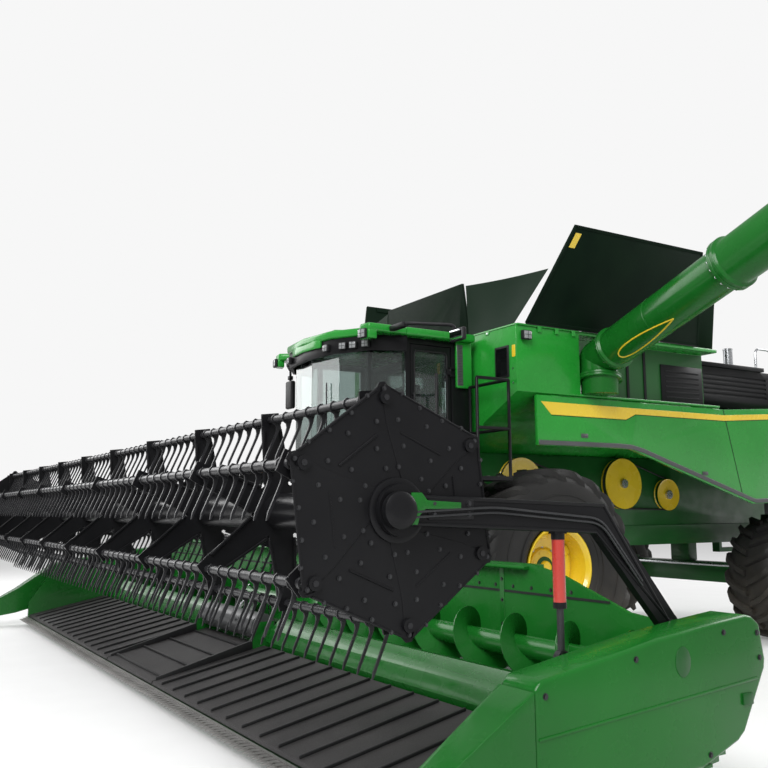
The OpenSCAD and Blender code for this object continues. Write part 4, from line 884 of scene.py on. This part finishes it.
def lug_sections(d, w, lug):
    r, sweep, thick = d / 2, 0.425 * w, 52
    foot = r - lug
    path = [(0.012, 0, foot, r - 1), (0.07, 0.06, foot, r), (0.16, 0.16, foot, r),
            (0.26, 0.29, foot - 2, r - 1), (0.36, 0.46, foot - 10, r - 4), (0.43, 0.62, foot - 35, r - 12),
            (0.478, 0.78, foot - 75, r - 45), (0.497, 0.92, foot - 100, r - 95),
            (0.492, 1, foot - 135, r - 135)]
    sections = []
    for across, along, low, high in path:
        half = thick / 2 / math.cos(math.atan(0.55 + 0.5 * along))
        section = []
        for radius, wide in ((low, 1.45), (low, -1.45), (high, -1), (high, 1)):
            turn = (along * sweep + half * wide) / r
            inward = 28 if across > 0.45 and radius == low else 0
            section.append((across * w - inward, radius * math.sin(turn), radius * math.cos(turn)))
        sections.append(section)
    return sections


def tyre(x, y, z, d, w, rim_d, count, lug=55):
    place = (x, y, z)
    one = swept(lug_sections(d, w, lug))
    one.location = at(*place)
    settle(one)
    middle = Matrix.Translation(at(x, 0, 0))
    other = middle @ Matrix.Scale(-1, 4, (1, 0, 0)) @ middle.inverted()
    step = 360 / count
    left = [turned_about(step * k, "X", place) for k in range(count)]
    right = [turned_about(step * (k + 0.5), "X", place) @ other for k in range(count)]
    parts = [turned(tyre_profile(d, w, rim_d, lug), place, steps=72), repeated(one, left + right)]
    for radius, side in ((rim_d / 2 + 125, w / 2 - 12), (rim_d / 2 + 0.215 * (d - rim_d) + 60, w / 2 + 4.5)):
        rib = [(radius - 8, side - 12), (radius - 4, side), (radius + 4, side), (radius + 8, side - 12)]
        parts.append(turned(rib, place, steps=72))
    return join(parts)


def both_wheels(name, end, parts, finish, suffix="", solid=None, shading=35):
    mirrored = copied(parts, MIRROR)
    for side, piece in (("left", parts), ("right", mirrored)):
        wheel = end + "_" + side
        replaced = (solid + "_" + wheel,) if solid else ()
        dress(name + "_" + wheel + suffix, piece, finish, "wheel_" + wheel, replaced, shading)


FRONT, REAR = (1450, 0, 1025), (1550, 3950, 775)
both_wheels("tyre", "front", tyre(*FRONT, 2050, 800, 860, 22), "tyre_rubber", "_lugged", "tyre", 40)
both_wheels("tyre", "rear", tyre(*REAR, 1550, 650, 730, 19), "tyre_rubber", "_lugged", "tyre", 40)


# %% Rims, wheel nuts and hub caps
def rim_profile(d, w, disc, hub):
    r, edge = d / 2 - 1, w / 2 - 60
    return [(hub + 1, disc + 52), (hub + 60, disc + 52), (hub + 74, disc + 46), (hub + 92, disc + 12),
            (r * 0.46, disc + 8), (r * 0.50, disc + 30), (r * 0.72, disc + 58), (r * 0.80, disc + 60),
            (r * 0.845, disc + 50), (r * 0.86, disc + 35), (r - 46, disc + 45), (r - 42, disc + 100),
            (r - 42, edge - 48), (r - 30, edge - 30), (r - 6, edge - 22), (r, edge - 14), (r, edge),
            (r - 10, edge + 4), (r - 22, edge - 4), (r - 34, edge - 16), (r - 52, edge - 40), (r - 53, disc),
            (r - 53, 40 - edge), (r - 34, 16 - edge), (r - 22, 4 - edge), (r - 10, -4 - edge), (r, -edge),
            (r, 14 - edge), (r - 60, 50 - edge), (r - 62, disc - 10), (r * 0.72, disc + 22),
            (r * 0.50, disc - 8), (hub + 75, disc - 55), (hub + 1, disc - 55)]


for end, (x, y, z), d, w, disc, hub, nut_ring, nuts in (("front", FRONT, 860, 800, 40, 110, 215, 10),
                                                        ("rear", REAR, 730, 650, 20, 60, 168, 8)):
    face = x + disc
    ring = turned(rim_profile(d, w, disc, hub), (x, y, z), steps=64)
    pad = box((face + 20, y - 45, z + 0.34 * d), (face + 75, y + 45, z + 0.435 * d), 12)
    pads = repeated(pad, [turned_about(turn, "X", (x, y, z)) for turn in SIXTHS])
    both_wheels("rim", end, join([ring, pads]), "yellow_paint", "_pressed", "rim", 30)
    spots = [(face + 14, y + s, z + c) for c, s in circle(nuts, nut_ring)]
    both_wheels("wheel_nuts", end, bolt_heads(spots, (1, 0, 0), 17, 24), "bright_steel")
    cap = [(0, 112), (30, 110), (56, 100), (68, 80), (70, 54), (0, 54)]
    cap = turned([(radius, disc + along) for radius, along in cap], (x, y, z), steps=32)
    spots = [(face + 54, y + s, z + c) for c, s in circle(8, hub + 45, 0.5)]
    both_wheels("hub_cap", end, join([cap, bolt_heads(spots, (1, 0, 0), 11, 10)]), "yellow_paint")

# %% [markdown]
# ## Cab
# The cab is a glass box on a dark frame under a thick moulded roof. The roof's edge is rounded all round,
# lamps sit in a dark band under its front, and rubber seals frame the panes. The seat is the one soft
# thing inside, so it's a padded piece, and everything else in there is moulded plastic or painted steel.

# %% Frame, door and roof
softened("cab_frame", 6, "black_paint")
softened("cab_door", 6, "black_paint", "cab_door")
CAB_HALF, CAB_BACK, CAB_FRONT = 1020, -520, -1950
SHOULDER = CAB_FRONT + 60
ROOF_Z, ROOF_OVER = 3420, 110
ROOF_TOP = ROOF_Z + 90
HORN_X, HORN_Y = CAB_HALF + 115, CAB_FRONT + 50


def two_sided(half):
    return half + [(-x, y) for x, y in reversed(half) if x]


EAVES = CAB_HALF + ROOF_OVER
cab_plan = two_sided([(EAVES, CAB_BACK), (EAVES, -1400), (EAVES - 150, -1720), (520, SHOULDER - ROOF_OVER),
                      (0, CAB_FRONT - ROOF_OVER)])
horn_tip = [(HORN_X, HORN_Y + 30), (HORN_X - 150, HORN_Y)]
horn_plan = [(CAB_HALF, -1400), (HORN_X, -1400), *horn_tip, (CAB_HALF - 120, -1780)]
beak_plan = [(HORN_X, HORN_Y + 130), *horn_tip, (HORN_X - 150, HORN_Y + 80)]
brow_plan = two_sided([(-340, -1992), (-340, -2018), (-200, -2036), (0, -2050)]) + [(0, -2026)]
cap_plan = two_sided([(-640, CAB_BACK), (-640, -1500), (-420, SHOULDER)])
side = join([prism(horn_plan, "Z", ROOF_Z, ROOF_TOP - 1, 26, 4, 60),
             prism(beak_plan, "Z", ROOF_Z - 75, ROOF_Z + 20, 12, 3, 50),
             box((CAB_HALF + 0.3, CAB_BACK - 210, 2920), (CAB_HALF + 40, CAB_BACK - 5, ROOF_Z + 4), 12, 3)])
parts = [prism(cab_plan, "Z", ROOF_Z, ROOF_TOP, 28, 4, 60),
         prism(cap_plan, "Z", ROOF_TOP - 10, ROOF_TOP + 44, 20, 4, 40),
         prism(brow_plan, "Z", ROOF_Z - 65, ROOF_Z + 30, 6, 2, 50), side, copied(side, MIRROR)]
dress("cab_roof_rounded", parts, "green_paint", replaced=("cab_roof",), shading=50)
dress("roof_hatch", box((-330, -1300, ROOF_TOP + 42), (330, -800, ROOF_TOP + 50), 4), "black_plastic")
grille = [box((CAB_HALF + 38, CAB_BACK - 195, z), (CAB_HALF + 46, CAB_BACK - 135, z + 12), 2, 1)
          for z in range(2960, 3380, 28)]
grille.append(box((CAB_HALF + 36, CAB_BACK - 203, 2945), (CAB_HALF + 41.5, CAB_BACK - 127, 3392), 2, 1))
dress("intake_grilles", grille, "grey_paint", twin=True)

# %% Seals round the panes
SILL_Z, HEAD_Z = 1990, 3360
corners = two_sided([(1012, -1400), (862, -1722), (520, -1897), (0, -1957)])
seals = [pipe([(x, y, z) for x, y in corners], 12, 50) for z in (SILL_Z + 12, HEAD_Z - 12)]
seals += [rod((x, -1690, SILL_Z), (x, -1690, HEAD_Z), 34) for x in (835, -835)]
dress("pane_seals", seals, "boot_rubber")

# %% Door seal and handle
DOOR_REAR = CAB_BACK - 260
DOOR_FRONT = DOOR_REAR - 520
y0, y1 = DOOR_FRONT + 52, DOOR_REAR - 52
frame_line = [(1016.5, y, z) for y, z in ((y0, 2072), (y1, 2072), (y1, 3288), (y0, 3288), (y0, 2072))]
dress("door_seal", pipe(frame_line, 8, 50), "boot_rubber", "cab_door")
handle = [(x, DOOR_FRONT + 32, z) for x, z in ((1018, 2520), (1050, 2550), (1050, 2800), (1018, 2830))]
dress("handle", pipe(handle, 11, 30), "black_plastic", "cab_door")

# %% Lamps under the roof
# Each lamp is made facing forward at the axle's place, and stands() gives the matrix that puts it in its own.
VISOR_OUT = 80
VISOR_X, VISOR_Y = 520, SHOULDER - VISOR_OUT
FRONT_TURN = math.atan2(60, 520)
VISOR_TURN = math.atan2(-1720 - VISOR_Y, CAB_HALF - 150 + VISOR_OUT - VISOR_X)
HORN_TURN = math.atan2(30, 150)


def work_lamp(wide, high, deep):
    w, d = wide / 2, -deep
    parts = [box((-w, d, 0), (w, -0.3, high), 12, 3),
             box((12 - w, d - 5.2, high / 2 - 2.5), (w - 12, d - 2, high / 2 + 2.5)),
             box((-2.5, d - 5.2, 12), (2.5, d - 2, high - 12))]
    return join(parts), box((9 - w, d - 4, 9), (w - 9, d + 10, high - 9), 6)


def stands(x, y, z, turn):
    return Matrix.Translation(at(x, y, z)) @ Matrix.Rotation(turn, 4, "Z") @ TO_LOCAL


places = [(VISOR_X + along * math.cos(turn), VISOR_Y + along * math.sin(turn), ROOF_Z - 132, turn)
          for along, turn in ((-65, FRONT_TURN), (155, VISOR_TURN), (280, VISOR_TURN), (430, VISOR_TURN))]
corner = (HORN_X - 150 + 75.5 * math.cos(HORN_TURN), HORN_Y + 75.5 * math.sin(HORN_TURN), ROOF_Z - 74,
          HORN_TURN)
small = [repeated(piece, [stands(*place) for place in places]) for piece in work_lamp(90, 82, 45)]
large = [repeated(piece, [stands(*corner)]) for piece in work_lamp(115, 100, 38)]
tank_lamp = [repeated(piece, [stands(1730.3, -342.5, 3366, math.pi / 2)]) for piece in work_lamp(115, 98, 56)]
housings, lenses = (join(list(pair)) for pair in zip(small, large))
base = rod((-700, -640, ROOF_TOP), (-700, -640, ROOF_TOP + 40), 45, 24)
dress("lamp_housings", [housings, copied(housings, MIRROR), tank_lamp[0], base], "black_plastic",
      replaced=("lamps",))
dress("lamp_lenses", [lenses, copied(lenses, MIRROR), tank_lamp[1]], "lamp_lens")
dome = turned([(0, 150), (22, 147), (38, 135), (43, 110), (43, 38), (0, 38)], (-700, -640, ROOF_TOP), "Z", 24)
dress("beacon", dome, "amber_lens")

# %% Mirrors
# The right mirror hangs beside the cab, and the left one is a small one at the end of a long arm.
MIRROR_X, MIRROR_Y = -1300, -1590
ARM_Z = ROOF_Z + 45
shell = subdivided(box((MIRROR_X - 90, MIRROR_Y - 30, 2880), (MIRROR_X + 90, MIRROR_Y + 30, 3230)), 1)
parts = [bevelled(shell, 22, 4, 60),
         pipe([(x, MIRROR_Y, z) for x, z in ((-HORN_X - 0.5, ARM_Z), (MIRROR_X, ARM_Z), (MIRROR_X, 2900))],
              15, 60),
         pipe([(HORN_X + 0.5, -1600, ARM_Z), (1445, -1600, ARM_Z), (1700, -1210, ROOF_Z + 20),
               (1700, -1210, 3300)], 18, 70),
         box((1620, -1230, 3270), (1860, -1180, 3400), 20, 4, 60),
         box((HORN_X + 4, -1635, ARM_Z - 30), (1400, -1565, ARM_Z + 26), 14, 3)]
parts += [box((MIRROR_X - 28, MIRROR_Y - 26, z), (MIRROR_X + 28, MIRROR_Y + 26, z + 50), 6)
          for z in (3245, 3380)]
dress("mirror_arms", parts, "black_plastic", replaced=("mirrors",))
glasses = [box((MIRROR_X - 78, MIRROR_Y + 28.5, 2900), (MIRROR_X + 78, MIRROR_Y + 32.5, 3210), 2, 1),
           box((1635, -1233, 3285), (1845, -1228.5, 3385), 2, 1)]
dress("mirror_glasses", glasses, "mirror_face")

# %% Wiper on the windscreen
wiper = [rod((100, -1952, 2030), (340, -1932, 2620), 6, 8), box((330, -1938, 2320), (345, -1926, 2980), 3),
         rod((100, -1975, 2020), (100, -1940, 2020), 22)]
dress("wiper", wiper, "black_plastic")

# %% Seat
SEAT_Z = SILL_Z + 300
cushion = subdivided(box((-250, -1145, SEAT_Z + 20), (250, -700, SEAT_Z + 138), 35, 3), 3)
back = subdivided(box((-240, -755, SEAT_Z + 142), (240, -645, SEAT_Z + 775), 35, 3), 3)
dress("seat_cushion", cushion, "seat_cloth", shading=60)
dress("seat_back", back, "seat_cloth", shading=60)

# %% Controls
parts = [box(low, high, width, segments) for low, high, width, segments in (
    ((-180, -1060, SILL_Z), (180, -700, SEAT_Z), 20, 2),
    ((-260, -1150, SEAT_Z), (260, -645, SEAT_Z + 20), 6, 2),
    ((-420, -1250, SILL_Z), (-300, -700, SILL_Z + 555), 20, 3),
    ((-360, -1270, SILL_Z + 500), (-320, -1220, SILL_Z + 560), 8, 2),
    ((-420, -1420, SILL_Z + 520), (-280, -1240, SILL_Z + 640), 12, 2),
    ((-60, -1620, SILL_Z), (60, -1500, SILL_Z + 60), 10, 2),
    ((-155, -1660, SILL_Z), (-85, -1600, SILL_Z + 140), 8, 2),
    ((85, -1660, SILL_Z), (155, -1600, SILL_Z + 140), 8, 2))]
parts.append(rod((0, -1560, SILL_Z + 40), (0, -1400, SILL_Z + 680), 35, 20))
dress("cab_controls", parts, "cab_trim", replaced=("cab_interior",))
idle()
bpy.ops.mesh.primitive_torus_add(major_segments=40, minor_segments=10, major_radius=0.185, minor_radius=0.014,
                                 location=at(0, -1385, SILL_Z + 715), rotation=(math.radians(15), 0, 0))
parts = [settle(), rod((0, -1395, SILL_Z + 690), (0, -1386, SILL_Z + 725), 40, 24),
         rod((-360, -1100, SILL_Z + 555), (-360, -1130, SILL_Z + 680), 18, 16, 24)]
middle_y, middle_z, lean = -1388, SILL_Z + 712, 0.26
spokes = [(c, middle_y + s * math.cos(lean), middle_z + s * math.sin(lean)) for c, s in circle(3, 178, 0.75)]
parts += [rod((0, middle_y, middle_z), end, 9, 10) for end in spokes]
dress("steering_wheel", parts, "black_plastic")

# %% [markdown]
# ## Grain tank and its covers
# The tank is a box of painted sheet with sloping lower walls. Four stiff covers stand open on hinges along
# its rim, and fabric fills the corners between them. The covers get a turned edge and pressed ribs on their
# inner side. The fabric is a light sheet, held along two edges, that hangs in shallow folds between them.

# %% Tank
softened("grain_tank", 6, "green_paint")
dress("tank_window_surround", box((1375, -462, 2985), (1605, -450.3, 3325), 10, 3, 40), "black_plastic")
dress("tank_window", box((1398, -465, 3008), (1582, -460.5, 3302), 2, 1), "dark_window")
dress("blank_plate_tank", box((1650, -452.5, 3190), (1705, -450.3, 3315), 1, 1), "yellow_paint")
RIBS_X = (-1250, -720, -240, 240, 720, 1250)
folds = [box((-1719.5, -457.5, 3522), (1719.5, -449.5, 3539.5)),
         box((-1738.5, -440, 3522), (-1729.5, 2690, 3539.5)),
         box((1729.5, -440, 3522), (1738.5, 420, 3539.5))]
folds += [box((x - 30, -458, 3490), (x + 30, -449.5, 3538)) for x in RIBS_X]
folds += [box((1729.5, y - 25, 3470), (1740.5, y + 25, 3537)) for y in (-140, 100, 340)]
folds += [box((-1740.5, y - 25, 3470), (-1729.5, y + 25, 3537)) for y in (-330, 350, 1050, 1750, 2450)]
dress("tank_rim_folds", bevelled(join(folds), 2, 1), "green_paint")
spots = [(x, -457.5, 3506) for x in RIBS_X] + [(x, -450.5, z) for x in (-1660, 1660) for z in (2920, 3070)]
dress("tank_bolts", bolt_heads(spots, (0, -1, 0), 10, 6), "bright_steel")

# %% Dark lining of the recess behind the unloading tube
RECESS_X = 1490.3
LINING_X = RECESS_X + 10
# The lining takes the dark green that is deepened as painted shade.
dress("recess_lining", box((RECESS_X, 930, 2860), (LINING_X, 2685, 3490), 3, 1), "dark_green_paint")
housing = [box((LINING_X, 1930, 2880), (RECESS_X + 24, 2660, 3330), 6)]
housing += [box((LINING_X, y - 20, 2870), (RECESS_X + 22, y + 20, 3480), 3, 1) for y in (1100, 1380, 1660)]
housing += [box((RECESS_X + 23, 2000, z), (RECESS_X + 28, 2590, z + 22), 2, 1) for z in range(2930, 3241, 62)]
dress("recess_housing", housing, "black_paint")

# %% Covers
HINGE = (1720, 0, 3550.3)
COVER_LEAN = 23
INSET_PER_HEIGHT = 350 / 1090
y0, y1 = -330, 2330
LEANED = Matrix.Translation(at(*HINGE)) @ Matrix.Rotation(math.radians(COVER_LEAN), 4, "Y") @ TO_LOCAL
for side in ("left", "right", "front", "rear"):
    softened("cover_" + side, 3, "cover_sheet", "cover_" + side, 2, 40)


def edge_of(height):
    return INSET_PER_HEIGHT * height


def hem_strip(end, step):
    foot, top = end + step * 4, end + step * 34
    reach = step * edge_of(1070)
    return prism([(foot, 12), (top, 12), (top + reach, 1070), (foot + reach, 1070)], "X", 29.5, 33.5, 1.5, 1)


ribs = [box((-11.5, y0 + edge_of(z) + 160, z - wide), (0.5, y1 - edge_of(z) - 160, z + wide), 5)
        for z, wide in ((120, 30), (500, 20), (1030, 30))]
ribs += [box((-10.5, y - 20, 120), (0.5, y + 20, 1030), 5) for y in (382, 794, 1206, 1618)]
hem = [hem_strip(y0, 1), hem_strip(y1, -1), box((29.5, y0 + 350, 1055), (33.5, y1 - 350, 1086), 1.5, 1),
       box((29.5, y0 + 10, 10), (33.5, y1 - 10, 40), 1.5, 1)]
seal = [box((3, y0 + 10, -6), (27.5, y1 - 10, 6.5), 3)]
for name, parts, finish in (("ribs", ribs, "cover_sheet"), ("hem", hem, "cover_sheet"),
                            ("seal", seal, "boot_rubber")):
    left = repeated(join(parts), [LEANED])
    dress("cover_right_" + name, copied(left, MIRROR), finish, "cover_right")
    dress("cover_left_" + name, left, finish, "cover_left")
plate = [(y0 + edge_of(z) + reach, z) for z, reach in ((850, 45), (850, 125), (1010, 125), (1010, 45))]
plate = repeated(prism(plate, "X", 29.5, 31.5), [LEANED])
dress("blank_plate_cover", plate, "yellow_paint", "cover_left", shading=0)

# %% Fabric corners
# Each is a grid between two corners on the rim, one up the end cover and the tip up the side cover.
CLOTH_HEIGHT = 600
CLOTH_Z = 3544.3
lean = math.radians(COVER_LEAN)


def cloth(name, side, end):
    y = -430 if end > 0 else 2680
    inner_low, outer_low, inner_high = metres(885, y, CLOTH_Z), metres(1670, y, CLOTH_Z), metres(845, y, 4130)
    tip = metres(1708 + CLOTH_HEIGHT * math.sin(lean), y + end * (60 + edge_of(CLOTH_HEIGHT)),
                 HINGE[2] + CLOTH_HEIGHT * math.cos(lean))
    idle()
    bpy.ops.mesh.primitive_grid_add(x_subdivisions=28, y_subdivisions=20, size=1, location=ORIGIN)
    piece = bpy.context.object
    for vertex in piece.data.vertices:
        u, v = vertex.co.x + 0.5, vertex.co.y + 0.5
        place = inner_low.lerp(outer_low, u).lerp(inner_high.lerp(tip, u), v)
        loose = 16 * u * (1 - u) * v * (1 - v)
        place.y += end * (0.030 * loose + 0.014 * loose * math.sin(9.0 * (u + 0.35 * v)))
        place.z -= 0.05 * u * (1 - u) * v
        vertex.co = (side * place.x, place.y, place.z)
    if side < 0:
        edit(piece, bpy.ops.mesh.flip_normals)
    settle(piece)
    applied(piece, "SOLIDIFY", thickness=0.003, offset=0)
    dress(name, piece, "corner_cloth", "machine", ("cover_corners",), 60)
    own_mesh(piece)


for side, word in ((1, "left"), (-1, "right")):
    cloth("corner_cloth_front_" + word, side, 1)
    cloth("corner_cloth_rear_" + word, side, -1)

# %% [markdown]
# ## Unloading auger
# A long steel tube carries grain from the tank out over a trailer. It's rolled and welded in two lengths
# that meet in a bolted ring, and a rubber boot hangs under its end. Both tubes are turned profiles, laid
# along the auger's own line, so that they stay round and smooth up close.

# %% Tube
ELBOW = at(1740, 700, 3250)
AUGER_YAW, AUGER_RISE = math.radians(-8.5), math.radians(15.5)
AUGER = (Matrix.Translation(ELBOW) @ Matrix.Rotation(AUGER_YAW, 4, "Z")
         @ Matrix.Rotation(math.pi / 2 - AUGER_RISE, 4, "Y"))
SWING_AXIS = Vector((-0.11736385, 0.13225639, 0.98424284))
SWING = Matrix.Translation(ELBOW) @ SWING_AXIS.to_track_quat("Z", "Y").to_matrix().to_4x4()


def laid(matrix, profile, steps):
    return repeated(turned(profile, (0, 0, 0), "Z", steps), [matrix @ TO_LOCAL])


def flange(radius, start, end, seat):
    low = radius - 4
    return [(seat, start - 10), (low, start), (radius, start + 4), (radius, end - 4), (low, end),
            (seat, end + 10)]


def seam(radius, start):
    return [(radius, start), (radius + 2.5, start + 2), (radius + 2.5, start + 14), (radius, start + 16)]


tube = [(0, 0), (210, 0), *flange(236, 270, 289, 214), *flange(236, 292, 311, 214), (210, 325),
        *seam(210, 1020), (210, 2020), *flange(260, 2040, 2078, 236), *flange(260, 2083, 2120, 236),
        (230, 2140), *seam(230, 3900), *seam(230, 5700), (230, 7600), (0, 7600)]
idle()
bpy.ops.mesh.primitive_uv_sphere_add(segments=48, ring_count=24, radius=0.214, location=ELBOW)
elbow = settle()
foot = [(0, -225), (236, -225), (240, -221), (240, -199), (236, -195), (216, -190), (210, -180), (210, 0),
        (0, 0)]
parts = [laid(AUGER, tube, 64), elbow, laid(SWING, foot, 56)]
# The tube takes the green that is darkened as painted shade, as the header does.
dress("unload_tube_round", parts, "painted_shade_green", "unload_auger", ("unload_tube",), 40)

# %% Bolts of the two rings
bolts = []
for start, radius, count in ((260, 224, 16), (2034, 246, 20)):
    bolts += [(AUGER @ metres(x, y, start) - ORIGIN) * 1000 for x, y in circle(count, radius)]
backwards = -(AUGER.to_3x3() @ Vector((0, 0, 1)))
dress("unload_ring_bolts", bolt_heads(bolts, backwards, 10, 10), "bright_steel", "unload_auger")

# %% Yellow outline on the tube
# It runs as a leaf, round at the elbow's end and pointed at the other, on the tube's lower front side.
LEAF_START, LEAF_LENGTH = 460, 860
LEAF_MIDDLE, LEAF_HALF = -61.0, 27.0
leaf = []
for k in range(49):
    t = 2 * math.pi * k / 48
    u = (1 - math.cos(t)) / 2
    width = LEAF_HALF * math.copysign(abs(math.sin(t)) ** 0.8, math.sin(t)) * (1 - u) ** 0.55
    angle = math.radians(LEAF_MIDDLE + width)
    spot = metres(-208.5 * math.sin(angle), -208.5 * math.cos(angle), LEAF_START + LEAF_LENGTH * u)
    leaf.append((AUGER @ spot - ORIGIN) * 1000)
dress("tube_outline", pipe(leaf, 8.5, 10, 2), "yellow_paint", "unload_auger")

# %% Boot at the end of the tube
collar = [(231, 7385), (240, 7385), (248, 7392), (248, 7410), (240, 7418), (240, 7800), (231, 7800)]
boot = [(238, 4842), (256, 4842), (260, 4850)]
for z in range(4900, 5276, 75):
    boot += [(252, z), (259.5, z + 12), (259.5, z + 26), (252, z + 38)]
boot += [(252, 5450), (260, 5460), (260, 5525), (245, 5541), (0, 5541), (0, 5500), (238, 5480)]
boot = turned(boot, (9269, -425.2, 0), "Z")
dress("unload_boot", [laid(AUGER, collar, 48), boot], "boot_rubber", "unload_auger", ("unload_spout",), 40)
# The tower takes the green that is darkened as painted shade.
softened("unload_tower", 3, "painted_shade_green")

# %% [markdown]
# ## Body, side panels and rear
# Under the tank stands the long box of the threshing parts, driven by belts on its left side. Big hinged
# panels cover the upper sides. They carry a plain yellow stripe, a dark trim along their lower edge and
# small latches. The engine sits behind the tank under a slatted deck, and a hood closes the rear.

# %% Frame, axles and body
# These take the dark green whose colour is deepened as painted shade.
softened("chassis_frame", 6, "dark_green_paint")
for solid in ("separator_body", "front_axle", "rear_axle"):
    softened(solid, 8, "dark_green_paint")
softened("engine_block", 10, "grey_paint")
for side in ("left", "right"):
    softened("knuckle_" + side, 5, "dark_green_paint", "knuckle_" + side)
    softened("side_panel_" + side, 6, "green_paint", "side_panel_" + side)

# %% Stripe, trim and latches of the side panels
PANEL_X = 1730.3


def on_panel(outline, thick, rounding=1.5):
    return prism(outline, "X", PANEL_X, PANEL_X + thick, rounding, 1)


stripe = on_panel([(-150, 2738), (-10, 2604), (1085, 2604), (1235, 2670), (2740, 2670), (4672, 2799),
                   (4672, 2864), (2740, 2738)], 3.5)
lines = [on_panel([(-10, 2597), (1087, 2597), (1237, 2663), (2740, 2663), (4672, 2792), (4672, 2797),
                   (2740, 2668), (1235, 2668), (1085, 2602), (-10, 2602)], 2.5, 1),
         on_panel([(2735, 2800), (2747, 2800), (3012, 1790), (3000, 1790)], 1.2, 0.4)]
low_edge = [(-195, 2284), (980, 2284), (1160, 2276), (1340, 2240), (3190, 1702), (3260, 1688), (4672, 1728)]
trim = [on_panel(low_edge + [(y, z + 50) for y, z in reversed(low_edge)], 12, 5)]
for y, z in ((450, 2400), (2350, 2030), (3950, 1820)):
    trim.append(box((PANEL_X, y - 50, z - 22), (PANEL_X + 7, y + 50, z + 22), 4))
    trim.append(box((PANEL_X + 4, y - 32, z - 8), (PANEL_X + 14, y + 32, z + 8), 3))
marker = on_panel([(4500, 2300), (4580, 2300), (4580, 2340), (4500, 2340)], 6, 2)
for name, piece, finish in (("stripe", stripe, "yellow_paint"), ("trim", join(trim), "grey_paint"),
                            ("lines", join(lines), "black_paint"), ("marker", marker, "amber_lens")):
    dress("panel_" + name + "_right", copied(piece, MIRROR), finish, "side_panel_right", shading=40)
    dress("panel_" + name + "_left", piece, finish, "side_panel_left", shading=40)

# %% Belt drives on the left side
# A pulley's place, radius and width. A belt runs round the first two, and another round the last two.
BODY_HALF = 800
PULLEYS = [(300, 1900, 300, 60), (1150, 1750, 210, 60), (1900, 1930, 300, 70), (2700, 1800, 190, 60)]
wheels, hubs, belts = [], [], []
for y, z, radius, wide in PULLEYS:
    outer, inner, face = radius + 8, radius - 10, BODY_HALF + wide
    pulley = [(50, wide + 1), (radius - 32, wide + 1), (outer, wide + 10), (outer, wide),
              (inner, wide / 2 + 12), (inner, wide / 2 - 2), (outer, 10), (outer, 2), (50, 2)]
    wheels.append(turned(pulley, (BODY_HALF, y, z), steps=40))
    hubs.append(rod_x(face - 10, face + 30, y, z, 55, 24))
    hubs += [rod_x(face, face + 36, y + a, z + b, 6, 6) for a, b in circle(6, 36)]
for (y0, z0, r0, wide), (y1, z1, r1, _) in (PULLEYS[:2], PULLEYS[2:]):
    gap, heading = math.hypot(y1 - y0, z1 - z0), math.atan2(z1 - z0, y1 - y0)
    lean = math.asin((r0 - r1) / gap)
    path = []
    for y, z, radius, first, turn in ((y0, z0, r0, heading + math.pi / 2 - lean, math.pi + 2 * lean),
                                      (y1, z1, r1, heading - math.pi / 2, math.pi - 2 * lean)):
        for angle in [first + turn * k / 16 for k in range(17)]:
            place = (y + radius * math.cos(angle), z + radius * math.sin(angle))
            path.append((BODY_HALF + wide / 2 + 5, *place))
    belts.append(pipe(path + [path[0]], 11, 1, 2))
dress("drive_pulleys", wheels, "yellow_paint", shading=40)
dress("drive_hubs", hubs, "bright_steel", shading=40)
dress("drive_belts", belts, "slat_rubber", shading=60)

# %% Engine deck, exhaust and rails
softened("engine_deck", 6, "black_paint")
DECK_TOP = 3470
vents = [box((-1050, y, DECK_TOP - 2), (1050, y + 50, DECK_TOP + 12), 4) for y in range(3020, 3861, 140)]
vents += [box((-1120, y, DECK_TOP - 2), (1120, y + 40, DECK_TOP + 16), 4) for y in (2960, 3980)]
vents += [box((x, 2960, DECK_TOP - 2), (x + 40, 4020, DECK_TOP + 16), 4) for x in (-1120, 1080)]
dress("deck_vents", vents, "black_plastic")
stack = [(0, 0), (85, 0), (85, 12), (62, 20), (62, 400), (66, 405), (66, 425), (55, 430), (55, 200), (0, 200)]
dress("exhaust", turned(stack, (720, 4220, 3420), "Z", 32), "bright_steel")
HOOPS = ((1240, 4700, 2965, 3360, 5000, 3360, 2965), (1240, 5100, 2955, 3300, 5380, 3260, 2915),
         (1300, 4360, 3440, 3740, 4020, 3740, 3468))
hoops = [pipe([(x, y0, z0), (x, y0, top0), (x, y1, top1), (x, y1, z1)], 16, 90)
         for x, y0, z0, top0, y1, top1, z1 in HOOPS]
dress("grab_rails", hoops, "bright_steel", twin=True)

# %% Rear hood and its lamps
softened("rear_hood", 30, "green_paint", segments=3)
HOOD_REAR = 5800
seams = [box((x0, HOOD_REAR - 0.2, z0), (x1, HOOD_REAR + 1.2, z1)) for x0, x1, z0, z1 in (
    (-1200, 1200, 2280, 2288), (-620, -612, 2060, 2490), (612, 620, 2060, 2490))]
dress("hood_seams", seams, "black_paint", shading=0)
lights = [box((x - 140, HOOD_REAR - 4, 2330), (x + 140, HOOD_REAR + 30, 2450), 12, 3) for x in (-1200, 1200)]
lights += [box((x - 90, HOOD_REAR - 2, 2120), (x + 90, HOOD_REAR + 14, 2160), 6) for x in (-300, 300)]
dress("tail_lamp_housings", lights, "black_plastic")
for colour, start in (("red", -125), ("amber", 5)):
    lenses = [box((x + start, HOOD_REAR + 26, 2345), (x + start + 120, HOOD_REAR + 36, 2435), 6)
              for x in (-1200, 1200)]
    dress("tail_lamps_" + colour, lenses, colour + "_lens")

# %% Spreader, platform and ladder
softened("spreader", 5, "black_paint")
softened("platform", 3, "black_paint", angle=40)
treads = []
for i in range(6):
    x, z = 1775 - 25 * i, 520 + 260 * i
    treads += [box((x + 6, y, z - 1), (x + 94, y + 18, z + 6)) for y in range(-1430, -1119, 62)]
treads += [box((x, y, 1949), (x + 45, y + 18, 1956))
           for y in range(-1440, -689, 125) for x in range(1060, 1635, 82)]
dress("platform_treads", treads, "worn_steel", shading=0)
